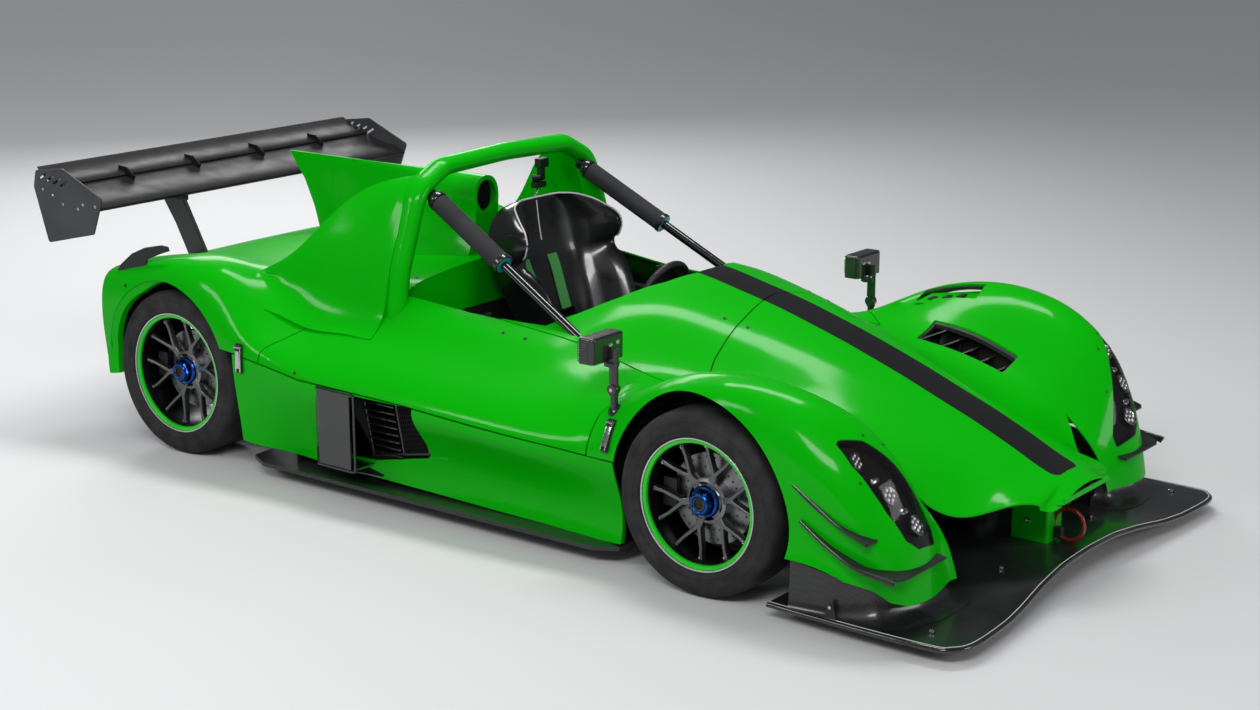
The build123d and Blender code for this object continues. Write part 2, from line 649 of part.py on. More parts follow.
def wing_plank(chord, half_span):
    """An aerofoil section carried across the car."""
    outline = Plane.XZ.offset(-half_span) * make_face(Spline(*chord, periodic=True))
    return extrude(outline, amount=2 * half_span)


wing_inner_span = wing_half_span - plate_thickness - fit
bracket_ys = (-500, -170, 170, 500)
bracket_outline = [(-1800, 908), (-1880, 938), (-1880, 962), (-1835, 958), (-1790, 928)]
main_plane = wing_plank(main_chord, wing_inner_span)
wing_flap = wing_plank(flap_chord, wing_inner_span)
with BuildPart() as rear_wing:
    add(main_plane)
    add(wing_flap)
    for bracket_y in bracket_ys:
        add(prism_xz(bracket_outline, bracket_y - 3, bracket_y + 3))
save(rear_wing.part, "rear_wing")

plate_outline = [(-1609, 904), (-1666, 766), (-1924, 706), (-1993, 912), (-1977, 974),
                 (-1822, 994)]
slot_centres = [(-1936, 942), (-1897, 936), (-1858, 930), (-1819, 924)]
plate_face = make_face(FilletPolyline(*plate_outline, radius=14, close=True))
slot_cut = [Pos(slot_x, slot_z + 14) * Rot(0, 0, 28) * SlotOverall(52, 9)
            for slot_x, slot_z in slot_centres]
with BuildPart() as wing_end_plates:
    with BuildSketch(Plane.XZ.offset(-wing_half_span)):
        add(plate_face)
        for slot in slot_cut:
            add(slot, mode=Mode.SUBTRACT)
    extrude(amount=plate_thickness)
    mirror(about=Plane.XZ)
save(wing_end_plates.part, "wing_end_plates")

pylon_left = pylon_prism(0) - main_plane
with BuildPart() as wing_pylons:
    add(pylon_left)
    mirror(about=Plane.XZ)
save(wing_pylons.part, "wing_pylons")

winglet_outline = [(-1586, 640), (-1560, 668), (-1500, 712), (-1430, 742), (-1340, 762),
                   (-1306, 760), (-1300, 745), (-1350, 728), (-1420, 700), (-1440, 640)]
winglet_left = prism_xz(winglet_outline, 772, 778) - outer_solid
# ---------------------------------------------------------------- dive planes
dive_thickness = 6
dive_lines = [[(1437, 433), (1500, 392), (1580, 346), (1690, 303)],
              [(1466, 330), (1560, 272), (1660, 226), (1780, 205)]]
dive_plan = [(1400, 780), (1420, 899), (1700, 899), (1770, 860), (1800, 780), (1800, 600),
             (1700, 600)]
dives = []
for line in dive_lines:
    under = [(x, z - dive_thickness) for x, z in reversed(line)]
    blade = prism_xz(line + under, 600, 905) & prism_xy(dive_plan, 0, 600)
    dives.append(blade - outer_solid)
with BuildPart() as aero_planes:
    add(winglet_left)
    for blade in dives:
        add(blade)
    mirror(about=Plane.XZ)
save(aero_planes.part, "aero_planes")

# ---------------------------------------------------------------- side ducts and radiators
fairing_wall = 4
fairing = prism_xy([(fairing_rear, 858), (fairing_rear + 25, 872), (duct_rear + 5, 876),
                    (duct_rear + 5, 720), (fairing_rear, 720)], duct_low, duct_high + 8)
fairing_hollow = prism_xy([(fairing_rear + 17, 856), (fairing_rear + 27, 866), (duct_rear + 40, 871),
                           (duct_rear + 40, 700), (fairing_rear + 17, 700)],
                          duct_low + fairing_wall, duct_high + 8 - fairing_wall)
fairing_left = fairing - fairing_hollow - outer_solid
core_rear = duct_rib_rear + fit
core_front = duct_rib_front - fit
core_left = prism_xy([(core_rear, 742), (core_front, 712), (core_front, 682), (core_rear, 712)],
                     duct_low + 12, duct_high - 12)
with BuildPart() as side_ducts:
    add(fairing_left)
    add(core_left)
    mirror(about=Plane.XZ)
save(side_ducts.part, "side_ducts")

# ---------------------------------------------------------------- mirrors
mirror_centre = (648, 765, 690)
housing_width, housing_height, housing_depth = 158, 82, 62
with BuildPart() as mirrors:
    with Locations(mirror_centre):
        Box(housing_depth, housing_width, housing_height)
    fillet(mirrors.edges().filter_by(Axis.Z), 14)
    fillet(mirrors.faces().sort_by(Axis.Z)[-1].edges(), 8)
    with BuildSketch(Plane.XY.offset(540)):
        with Locations((692, 758)):
            Ellipse(17, 10)
    extrude(amount=150)
    add(outer_solid, mode=Mode.SUBTRACT)
    mirror(about=Plane.XZ)
save(mirrors.part, "mirrors")

# ---------------------------------------------------------------- hoop stays
stay_radius = 16
sleeve_radius = 34
stay_top = Vector(-338, 412, 985)
sleeve_end = Vector(-12, 449, 809)
stay_line = (sleeve_end - stay_top).normalized()
stay_foot = stay_top + stay_line * 790
sleeve_start = stay_top + stay_line * 20
stay_left = tube(stay_top - stay_line * 30, stay_foot, stay_radius)
sleeve_left = (tube(sleeve_start, sleeve_end, sleeve_radius)
               - tube(sleeve_start, sleeve_end, stay_radius + fit))
with BuildPart() as hoop_stays:
    add(stay_left - outer_solid - hoop_body)
    mirror(about=Plane.XZ)
save(hoop_stays.part, "hoop_stays")
with BuildPart() as stay_sleeves:
    add(sleeve_left - hoop_body)
    mirror(about=Plane.XZ)
save(stay_sleeves.part, "stay_sleeves")

# ---------------------------------------------------------------- seats and harness
driver_y = 150
seat_base = tub_floor_top + fit
seat_side = [(-375, 900), (-330, 905), (-290, 880), (-235, 640), (-170, 330), (-120, 205),
             (60, 190), (190, 232), (205, 205), (60, seat_base), (-200, seat_base), (-330, 420)]
seat_inner = [(-318, 830), (-200, 470), (-130, 260), (40, 230), (400, 300), (400, 1000),
              (-240, 1000)]
bolster_side = [(-300, 780), (-120, 560), (-20, 320), (190, 250), (60, seat_base),
                (-200, seat_base), (-320, 420)]
seat_half = 200
shoulder_half = 290          # above the tub's sides
crown_half = 110             # half width of the flat top of the headrest
seat_front_view = [(driver_y + side * y, z) for side, y, z in
                   ((-1, shoulder_half, tub_base), (-1, shoulder_half, 775), (-1, crown_half, 910),
                    (1, crown_half, 910), (1, shoulder_half, 775), (1, shoulder_half, tub_base))]
shoulder_side = [(-375, 900), (-330, 905), (-290, 885), (-170, 690), (-140, 600), (-225, 600),
                 (-350, 640)]


def across(outline, centre_y, half_width):
    """A side-view outline carried across a seat."""
    return prism_xz(outline, centre_y - half_width, centre_y + half_width)


seat_hollow = across(seat_inner, driver_y, seat_half - 55)
with BuildPart() as driver_seat:
    add(across(seat_side, driver_y, seat_half))
    add(across(bolster_side, driver_y, seat_half))
    add(across(shoulder_side, driver_y, shoulder_half))
    add(seat_hollow, mode=Mode.SUBTRACT)
    add(prism_yz(seat_front_view, -400, 300), mode=Mode.INTERSECT)
save(driver_seat.part, "driver_seat")

belt_thickness = 4
belt_width = 50
belt_layer = seat_hollow.moved(Pos(fit, 0, fit)) - seat_hollow.moved(
    Pos(fit + belt_thickness, 0, fit + belt_thickness))
belt_reach = prism_xz([(-290, 720), (0, 720), (0, 200), (-290, 200)], -wide, wide)
with BuildPart() as harness:
    for belt_y in (driver_y - 70, driver_y + 70):
        with Locations((-145, belt_y, 460)):
            Box(320, belt_width, 560)
    add(belt_layer & belt_reach, mode=Mode.INTERSECT)
    with Locations((-25, driver_y, 256)):
        Box(56, 190, 20)
    add(seat_hollow.moved(Pos(fit, 0, fit)), mode=Mode.INTERSECT)
save(harness.part, "harness")

# ---------------------------------------------------------------- dashboard and steering wheel
column_top = Vector(290, driver_y, 585)
column_line = Vector(-0.93, 0, 0.36).normalized()
wheel_centre = column_top + column_line * 90
wheel_plane = Plane(wheel_centre, x_dir=(0, 1, 0), z_dir=column_line)
steering_rim_radius = 130
steering_tube = 13
column_radius = 14
column_slack = 0.05          # between the column and the wheel hub on it
rim_edge = Plane(wheel_plane.origin + wheel_plane.x_dir * steering_rim_radius,
                 x_dir=wheel_plane.x_dir, z_dir=wheel_plane.y_dir) * Circle(steering_tube)
steering_ring = revolve(rim_edge, axis=Axis(wheel_plane.origin, wheel_plane.z_dir))
with BuildPart() as steering_wheel:
    add(steering_ring)
    with BuildSketch(wheel_plane.offset(-4)):
        Rectangle(2 * steering_rim_radius - 8, 44)
        Circle(46)
    extrude(amount=8)
    with BuildSketch(wheel_plane.offset(-4)):
        Circle(24)
    extrude(amount=-60)
    with BuildSketch(wheel_plane.offset(-4)):
        Circle(column_radius + column_slack)
    extrude(amount=-60, mode=Mode.SUBTRACT)
save(steering_wheel.part, "steering_wheel")

dash_half = tub_side(rib_rears[0]) - rib_overlap - fit
with BuildPart() as dashboard:
    add(prism_xz([(400, tub_top + fit), (400, 650), (470, 760), (560, 760), (560, tub_top + fit)],
                 -dash_half, dash_half) & bucket_top)
    add(prism_xz([(405, 640), (372, 600), (372, tub_top + fit), (405, tub_top + fit)], -120,
                 tub_front_half - 30))
    with BuildSketch(wheel_plane.offset(-5)):
        Circle(column_radius)
    extrude(amount=-190)
save(dashboard.part, "dashboard")

# ---------------------------------------------------------------- engine and gearbox
engine_length, engine_width, engine_height = 520, 420, 420
engine_front_x = tub_rear_x - fit
engine_rear_x = engine_front_x - engine_length
with BuildPart() as engine_block:
    with Locations((engine_front_x - engine_length / 2, 0, tub_base + 30 + engine_height / 2)):
        Box(engine_length, engine_width, engine_height)
save(engine_block.part, "engine_block")
gearbox_rear_x = rear_axle_x - 280
gearbox_half = 110
with BuildPart() as gearbox:
    add(prism_xz([(engine_rear_x - fit, 130), (gearbox_rear_x, 250), (gearbox_rear_x, 400),
                  (engine_rear_x - fit, 470)], -gearbox_half, gearbox_half))
    add(tube((rear_axle_x, -170, rear_tyre_radius), (rear_axle_x, 170, rear_tyre_radius), 55))
save(gearbox.part, "gearbox")

frame_tube = 16
frame_rear_x = -1480
frame_y = 330
frame_low_z = 355
pylon_seat_y = pylon_y - pylon_thickness / 2 - fit
with BuildPart() as rear_frame:
    for side in (-1, 1):
        add(tube((tub_rear_x - fit, side * 300, 300), (frame_rear_x, side * frame_y, frame_low_z),
                 frame_tube))
        add(tube((tub_rear_x - fit, side * frame_y, 520), (frame_rear_x, side * frame_y, 470),
                 frame_tube))
        add(tube((frame_rear_x, side * frame_y, frame_low_z - 10),
                 (frame_rear_x, side * frame_y, 480), frame_tube))
        add(tube((frame_rear_x, side * (gearbox_half + fit), frame_low_z),
                 (frame_rear_x, side * pylon_seat_y, frame_low_z), frame_tube))
    add(prism_xz([(tub_rear_x - fit, 0), (tub_rear_x + 60, 0), (tub_rear_x + 60, 900),
                  (tub_rear_x - fit, 900)], -wide, wide), mode=Mode.SUBTRACT)
save(rear_frame.part, "rear_frame")

# ---------------------------------------------------------------- wheel positions and suspension
hub_bore = 24
disc_radius = 142
disc_thickness = 26
face_inset = 34              # rim edge to the middle of the spokes
disc_inset = 48              # middle of the spokes to the disc
rim_inset = 16               # tyre side to the rim edge
plate_inset = 26             # disc to the middle of the upright
arm_drop = 95                # ball joints above and below the axle
arm_spread = 150
arm_radius = 11
boss_radius = 17
boss_half = 14
pin_radius = 8
pin_slack = 0.05


def disc_y(wheel_y, tyre_width):
    """The inner face of the brake disc."""
    return wheel_y + tyre_width / 2 - rim_inset - face_inset - disc_inset - disc_thickness


front_disc_y = disc_y(front_wheel_y, front_tyre_width)
rear_disc_y = disc_y(rear_wheel_y, rear_tyre_width)
front_ball_y = front_disc_y - plate_inset
rear_ball_y = rear_disc_y - plate_inset


def wishbone(inner, outer, axle_x, side):
    """Two tubes from the chassis that meet in a bored boss at the upright."""
    place = (axle_x, side * outer[0], outer[1])
    legs = [tube((axle_x + step, side * inner[0], inner[1]), place, arm_radius)
            for step in (-arm_spread, arm_spread)]
    boss = tube((*place[:2], place[2] - boss_half), (*place[:2], place[2] + boss_half), boss_radius)
    bore = tube((*place[:2], place[2] - 40), (*place[:2], place[2] + 40), pin_radius + pin_slack)
    return legs[0] + legs[1] + boss - bore


front_seat_y = frame_half + fit
rear_seat_y = gearbox_half + fit
shaft_radius = 20
shaft_start_y = 170 + fit
with BuildPart() as wishbones:
    for side in (-1, 1):
        for level, inner_z in ((-1, 150), (1, 325)):
            add(wishbone((front_seat_y - 30, inner_z),
                         (front_ball_y, front_tyre_radius + level * arm_drop), front_axle_x, side))
        for level, inner_z in ((-1, 250), (1, 380)):
            add(wishbone((rear_seat_y - 30, inner_z),
                         (rear_ball_y, rear_tyre_radius + level * arm_drop), rear_axle_x, side))
    with Locations((front_axle_x, 0, front_tyre_radius)):
        Box(500, 2 * front_seat_y, 400, mode=Mode.SUBTRACT)
    with Locations((rear_axle_x, 0, rear_tyre_radius)):
        Box(500, 2 * rear_seat_y, 400, mode=Mode.SUBTRACT)
    for side in (-1, 1):
        add(tube((rear_axle_x, side * shaft_start_y, rear_tyre_radius),
                 (rear_axle_x, side * (rear_ball_y - 15 - fit), rear_tyre_radius), shaft_radius))
save(wishbones.part, "wishbones")


# ---------------------------------------------------------------- wheels
spoke_count = 10
barrel_depth = 24            # rim flange to the inside of the barrel


def tyre_body(radius, width, rim_radius, axle_x, y, z):
    """A slick tyre as one ring."""
    half = width / 2
    profile = [(rim_radius - 4, -half + 14), (rim_radius + 26, -half), (radius - 38, -half + 2),
               (radius - 10, -half + 14), (radius, -half + 40), (radius, half - 40),
               (radius - 10, half - 14), (radius - 38, half - 2), (rim_radius + 26, half),
               (rim_radius - 4, half - 14)]
    plane = Plane((axle_x, y, z), x_dir=(0, 0, 1), z_dir=(-1, 0, 0))
    face = plane * make_face(Polyline(*profile, close=True))
    return revolve(face, axis=Axis((axle_x, y, z), (0, 1, 0)))


def rim_body(rim_radius, width, axle_x, y, z, side):
    """A one-piece wheel: barrel, forked spokes, hub, brake disc and its bell."""
    half = width / 2 - rim_inset
    inside = rim_radius - barrel_depth
    barrel = [(rim_radius - 5, -half), (rim_radius - 5, half), (rim_radius - 13, half),
              (inside, half - 26), (inside, -half + 20), (rim_radius - 13, -half)]
    plane = Plane((axle_x, y, z), x_dir=(0, 0, 1), z_dir=(-1, 0, 0))
    ring = revolve(plane * make_face(Polyline(*barrel, close=True)),
                   axis=Axis((axle_x, y, z), (0, 1, 0)))
    face_plane = Plane((axle_x, y + side * (half - face_inset), z), x_dir=(1, 0, 0),
                       z_dir=(0, side, 0))
    spokes = None
    for index in range(spoke_count):
        angle = 360 / spoke_count * index + 9 * (-1) ** index
        bar = (face_plane * Rot(0, 0, angle) * Pos((rim_radius - 20) / 2 + 22, 0, 0)
               * Box(rim_radius - 62, 15, 22))
        spokes = bar if spokes is None else spokes + bar
    hub = extrude(face_plane * Circle(52), amount=14, both=True)
    nut = extrude(face_plane.offset(14) * Circle(33), amount=26)
    bell = extrude(face_plane * Circle(70), amount=-60)
    disc = extrude(face_plane.offset(-disc_inset) * Circle(disc_radius), amount=-disc_thickness)
    body = ring + spokes + hub + nut + bell + disc
    return body - extrude(face_plane * Circle(hub_bore), amount=120, both=True)


wheel_set = [("front_left", front_axle_x, front_wheel_y, front_tyre_radius, front_tyre_width,
              front_rim_radius, 1),
             ("front_right", front_axle_x, -front_wheel_y, front_tyre_radius, front_tyre_width,
              front_rim_radius, -1),
             ("rear_left", rear_axle_x, rear_wheel_y, rear_tyre_radius, rear_tyre_width,
              rear_rim_radius, 1),
             ("rear_right", rear_axle_x, -rear_wheel_y, rear_tyre_radius, rear_tyre_width,
              rear_rim_radius, -1)]
for corner, axle_x, y, radius, width, rim_radius, side in wheel_set:
    tyre_ring = tyre_body(radius, width, rim_radius, axle_x, y, radius)
    with BuildPart() as tyre:
        add(tyre_ring)
    save(tyre.part, f"tyre_{corner}")
    rim_solid = rim_body(rim_radius, width, axle_x, y, radius, side)
    with BuildPart() as rim:
        add(rim_solid)
    save(rim.part, f"rim_{corner}")

# ---------------------------------------------------------------- knuckles and rear uprights
stub_radius = hub_bore - 0.05
plate_half_height = arm_drop - boss_half - 1
caliper_x = 140              # middle of the caliper behind the axle
caliper_half = (25, 46, 45)
disc_clearance = 6


def upright(axle_x, y_disc, z, side):
    """The upright plate with its ball pins, stub axle and caliper."""
    plate_y = side * (y_disc - plate_inset)
    mid_disc = side * (y_disc + disc_thickness / 2)
    plate = Pos(axle_x, plate_y, z) * Box(70, 30, 2 * plate_half_height)
    pins = tube((axle_x, plate_y, z - arm_drop - boss_half), (axle_x, plate_y, z + arm_drop + boss_half),
                pin_radius)
    stub = tube((axle_x, plate_y, z), (axle_x, side * (y_disc + 96), z), stub_radius)
    saddle = (Pos(axle_x - caliper_x, side * (y_disc + 4), z)
              * Box(*[2 * half for half in caliper_half]))
    slot = (Pos(axle_x - disc_radius - disc_clearance + 100, mid_disc, z)
            * Box(200, disc_thickness + 2 * disc_clearance, 2 * caliper_half[2] + 10))
    arm = Pos(axle_x - 80, plate_y, z) * Box(120, 20, 60)
    return plate + pins + stub + ((saddle - slot) + arm)


for name, side in (("left", 1), ("right", -1)):
    knuckle_solid = upright(front_axle_x, front_disc_y, front_tyre_radius, side)
    with BuildPart() as knuckle:
        add(knuckle_solid)
    save(knuckle.part, f"knuckle_{name}")
rear_upright_left = upright(rear_axle_x, rear_disc_y, rear_tyre_radius, 1)
with BuildPart() as rear_uprights:
    add(rear_upright_left)
    mirror(about=Plane.XZ)
save(rear_uprights.part, "rear_uprights")
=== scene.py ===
"""Looks for the open two-seat sports prototype, in metres, in the frame of the CAD model."""
import bpy
import bmesh
from math import cos, pi, radians, sin
from mathutils import Matrix, Vector


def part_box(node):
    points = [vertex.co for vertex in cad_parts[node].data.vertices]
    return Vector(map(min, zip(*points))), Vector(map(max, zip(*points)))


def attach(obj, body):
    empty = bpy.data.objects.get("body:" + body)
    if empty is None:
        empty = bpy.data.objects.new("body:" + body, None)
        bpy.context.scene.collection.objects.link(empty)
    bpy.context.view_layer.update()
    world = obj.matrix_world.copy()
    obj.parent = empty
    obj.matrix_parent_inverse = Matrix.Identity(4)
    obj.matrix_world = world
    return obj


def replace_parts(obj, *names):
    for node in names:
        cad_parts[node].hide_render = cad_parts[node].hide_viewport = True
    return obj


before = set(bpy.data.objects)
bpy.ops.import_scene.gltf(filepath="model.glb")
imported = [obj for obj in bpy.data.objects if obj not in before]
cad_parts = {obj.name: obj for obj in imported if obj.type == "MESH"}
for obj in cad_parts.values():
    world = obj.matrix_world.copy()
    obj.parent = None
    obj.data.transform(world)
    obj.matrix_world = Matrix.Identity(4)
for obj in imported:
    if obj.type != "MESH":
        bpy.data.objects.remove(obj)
scene = bpy.context.scene
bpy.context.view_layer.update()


# ---------------- camera, lights, floor
def aim(location, back, right):
    """A matrix at a place whose Z points back and whose X points right."""
    back, right = Vector(back).normalized(), Vector(right).normalized()
    up = back.cross(right)
    turn = Matrix((right, up, back)).transposed().to_4x4()
    return Matrix.Translation(location) @ turn


# The camera's place and turn come from a fit to the wheels, the hoop, the wing and the splitter.
azimuth, elevation = radians(37.22), radians(14.42)
camera_data = bpy.data.cameras.new("camera")
camera_data.lens = 63.29
camera_data.sensor_width = 36
camera_data.clip_end = 200
camera = bpy.data.objects.new("camera", camera_data)
camera.matrix_world = aim((4.7033, -5.9564, 2.357),
                          (sin(azimuth) * cos(elevation),
                           -cos(azimuth) * cos(elevation), sin(elevation)),
                          (cos(azimuth), sin(azimuth), 0))
scene.collection.objects.link(camera)
scene.camera = camera
scene.view_settings.view_transform = "Standard"


def area_light(name, location, target, width, power, height):
    """A rectangular lamp in watts that faces its target."""
    data = bpy.data.lights.new(name, "AREA")
    data.energy = power
    data.shape = "RECTANGLE"
    data.size, data.size_y = width, height
    lamp = bpy.data.objects.new(name, data)
    back = Vector(location) - Vector(target)
    lamp.matrix_world = aim(location, back, Vector((0, 0, 1)).cross(back))
    scene.collection.objects.link(lamp)


area_light("key", (3.4, -6.0, 5.4), (0, 0, 0.4), 4.4, 255, 1.3)
area_light("top", (-1.15, 0.9, 6.0), (-1.0, 0, 0), 4.1, 190, 1.1)
area_light("fill", (-3.5, -6.5, 4.5), (-0.6, 0, 0.4), 3.0, 110, 1.2)
area_light("rim", (-5.5, 4.0, 3.4), (0, 0, 0.5), 3.5, 120, 2.0)
area_light("front", (7.5, 1.5, 2.6), (0.5, 0, 0.4), 3.0, 90, 1.6)


def add_node(tree, kind, inputs, output=0, **settings):
    """A new node's output, its inputs linked to sockets or set to plain values."""
    node = tree.nodes.new("ShaderNode" + kind)
    for key, value in settings.items():
        setattr(node, key, value)
    for key, value in inputs.items():
        if isinstance(value, bpy.types.NodeSocket):
            tree.links.new(value, node.inputs[key])
        else:
            node.inputs[key].default_value = value
    return node.outputs[output]


world = bpy.data.worlds.new("studio")
world.use_nodes = True
scene.world = world
tree = world.node_tree
tree.nodes.clear()


def backdrop(colour, strength):
    return add_node(tree, "Background", {"Color": (*colour, 1), "Strength": strength})


def by_ray(kind, others, these):
    """One shader for the light path's rays of a kind, and another for all others."""
    return add_node(tree, "MixShader", {0: add_node(tree, "LightPath", {}, kind), 1: others,
                                        2: these})


SKY = (0.93, 0.95, 1.0)
sky = by_ray("Is Camera Ray", by_ray("Is Glossy Ray", backdrop(SKY, 0.33), backdrop(SKY, 0.1)),
             backdrop((0.8, 0.81, 0.82), 0.9))
tree.links.new(sky, tree.nodes.new("ShaderNodeOutputWorld").inputs[0])


# ---------------- materials
class Maker:
    """A Principled material with helpers for procedural detail."""

    def __init__(self, name, base, rough, **sockets):
        self.mat = bpy.data.materials.new(name)
        self.mat.use_nodes = True
        self.tree = self.mat.node_tree
        self.inputs = self.tree.nodes["Principled BSDF"].inputs
        self.base = base
        self.inputs["Base Color"].default_value = (*base, 1)
        self.inputs["Roughness"].default_value = rough
        for key, value in sockets.items():
            self.inputs[key.replace("_", " ")].default_value = value
        self.coords = self.node("TexCoord", {}, "Object")
        self.bump = None

    def node(self, kind, inputs, output=0, **settings):
        return add_node(self.tree, kind, inputs, output, **settings)

    def join(self, source, socket):
        self.tree.links.new(source, self.inputs[socket])

    def mapped(self, scale, rotation=(0, 0, 0)):
        return self.node("Mapping", {"Scale": scale, "Rotation": rotation, "Vector": self.coords})

    def noise(self, scale, detail=3, stretch=None):
        vector = self.mapped(stretch) if stretch else self.coords
        return self.node("TexNoise", {"Scale": scale, "Detail": detail, "Vector": vector}, "Fac")

    def wave(self, scale, **settings):
        return self.node("TexWave", {"Scale": scale, "Vector": self.coords}, "Fac", **settings)

    def math(self, kind, a, b=0.0):
        return self.node("Math", {0: a, 1: b}, operation=kind)

    def axis(self, which):
        return self.node("SeparateXYZ", {0: self.coords}, which)

    def ramp(self, value, low, high, to_low=0.0, to_high=1.0):
        return self.node("MapRange", {"Value": value, "From Min": low, "From Max": high,
                                      "To Min": to_low, "To Max": to_high}, "Result")

    def mix(self, mask, off, on):
        """A colour node between two colours or sockets."""
        return self.node("Mix", {"A": off, "B": on, "Factor": mask}, "Result", data_type="RGBA")

    def colour(self, mask, other, into=None):
        """Blend the base colour, or what another blend gave, towards a colour by a mask."""
        mixed = self.mix(mask, into or (*self.base, 1), (*other, 1))
        self.join(mixed, "Base Color")
        return mixed

    def roughness(self, value, low, high):
        self.join(self.ramp(value, 0.3, 0.7, low, high), "Roughness")

    def relief(self, height, strength, distance):
        inputs = {"Strength": strength, "Distance": distance, "Height": height}
        if self.bump:
            inputs["Normal"] = self.bump
        self.bump = self.node("Bump", inputs)
        self.join(self.bump, "Normal")


GREEN = (0.0004, 0.43, 0.0008)
STRIPE_HALF, STRIPE_CORNER = 0.075, 0.03
STRIPE_START, STRIPE_END = 0.47, 1.86


def paint(name, stripe=False):
    """Green gloss paint, with the black stripe along the nose if asked."""
    m = Maker(name, GREEN, 0.45, Coat_Weight=0.3, Coat_Roughness=0.12, Specular_IOR_Level=0.03)
    cloud = m.noise(3.0, 4)
    colour = m.colour(m.ramp(cloud, 0.35, 0.7, 0.0, 0.35), (0.0004, 0.4, 0.0008))
    m.roughness(m.noise(9, 4), 0.4, 0.5)
    m.relief(m.noise(900, 2), 0.03, 0.0003)
    if stripe:
        across = m.math("ABSOLUTE", m.axis("Y"))
        past_x = m.math("SUBTRACT", m.axis("X"), STRIPE_END - STRIPE_CORNER)
        past_y = m.math("SUBTRACT", across, STRIPE_HALF - STRIPE_CORNER)
        squares = [m.math("POWER", m.math("MAXIMUM", past, 0.0), 2.0) for past in (past_x, past_y)]
        reach = m.math("SQRT", m.math("ADD", *squares))
        mask = m.math("LESS_THAN", across, STRIPE_HALF)
        for other in (m.math("LESS_THAN", reach, STRIPE_CORNER),
                      m.math("GREATER_THAN", m.axis("X"), STRIPE_START),
                      m.math("GREATER_THAN", m.axis("Z"), 0.29)):
            mask = m.math("MULTIPLY", mask, other)
        m.colour(mask, (0.016, 0.016, 0.017), into=colour)
    return m.mat


def carbon(name, tone, coat, scale=420, gloss=0.14):
    """Woven carbon under lacquer."""
    m = Maker(name, tone, 0.4, Coat_Weight=coat, Coat_Roughness=gloss)
    turned = m.mapped((1, 1, 0.6), (0, 0, radians(45)))
    check = m.node("TexChecker", {"Scale": scale, "Vector": turned}, "Fac")
    weave = m.math("MULTIPLY", check, m.ramp(m.wave(scale / 3.2), 0, 1, 0.5, 1.0))
    m.colour(weave, tuple(2.4 * c for c in tone))
    m.relief(weave, 0.12, 0.0004)
    m.roughness(m.noise(6, 3), 0.3, 0.5)
    return m.mat


def plastic(name, base, rough, grain=600, relief=0.25, **sockets):
    """A moulded or coated surface with a fine grain."""
    m = Maker(name, base, rough, **sockets)
    m.colour(m.ramp(m.noise(7, 5), 0.35, 0.7, 0, 0.6), tuple(min(1, 1.5 * c + 0.004) for c in base))
    m.roughness(m.noise(14, 4), max(0.05, rough - 0.07), min(1, rough + 0.08))
    m.relief(m.noise(grain, 3), relief, 0.0004)
    return m.mat


def metal(name, base, rough, scale=(40, 40, 900), **sockets):
    """Metal with a grain stretched along one axis, or even where the scale is even."""
    m = Maker(name, base, rough, Metallic=1.0, **sockets)
    m.roughness(m.noise(3, 4, stretch=scale), max(0.05, rough - 0.08), rough + 0.1)
    m.colour(m.ramp(m.noise(11, 4), 0.35, 0.7, 0, 0.5), tuple(0.75 * c for c in base))
    m.relief(m.noise(5, 3, stretch=scale), 0.06, 0.0003)
    return m.mat


def rubber(name):
    m = Maker(name, (0.014, 0.014, 0.015), 0.78, Specular_IOR_Level=0.35)
    m.colour(m.ramp(m.noise(16, 6), 0.35, 0.75, 0, 1), (0.036, 0.035, 0.034))
    m.roughness(m.noise(24, 5), 0.66, 0.88)
    m.relief(m.noise(240, 5), 0.22, 0.0008)
    return m.mat


def webbing(name, base):
    m = Maker(name, base, 0.8, Sheen_Weight=0.4)
    wave = m.wave(260, bands_direction="DIAGONAL")
    m.colour(m.ramp(wave, 0.2, 0.8, 0, 0.8), tuple(0.6 * c for c in base))
    m.relief(wave, 0.5, 0.0006)
    return m.mat


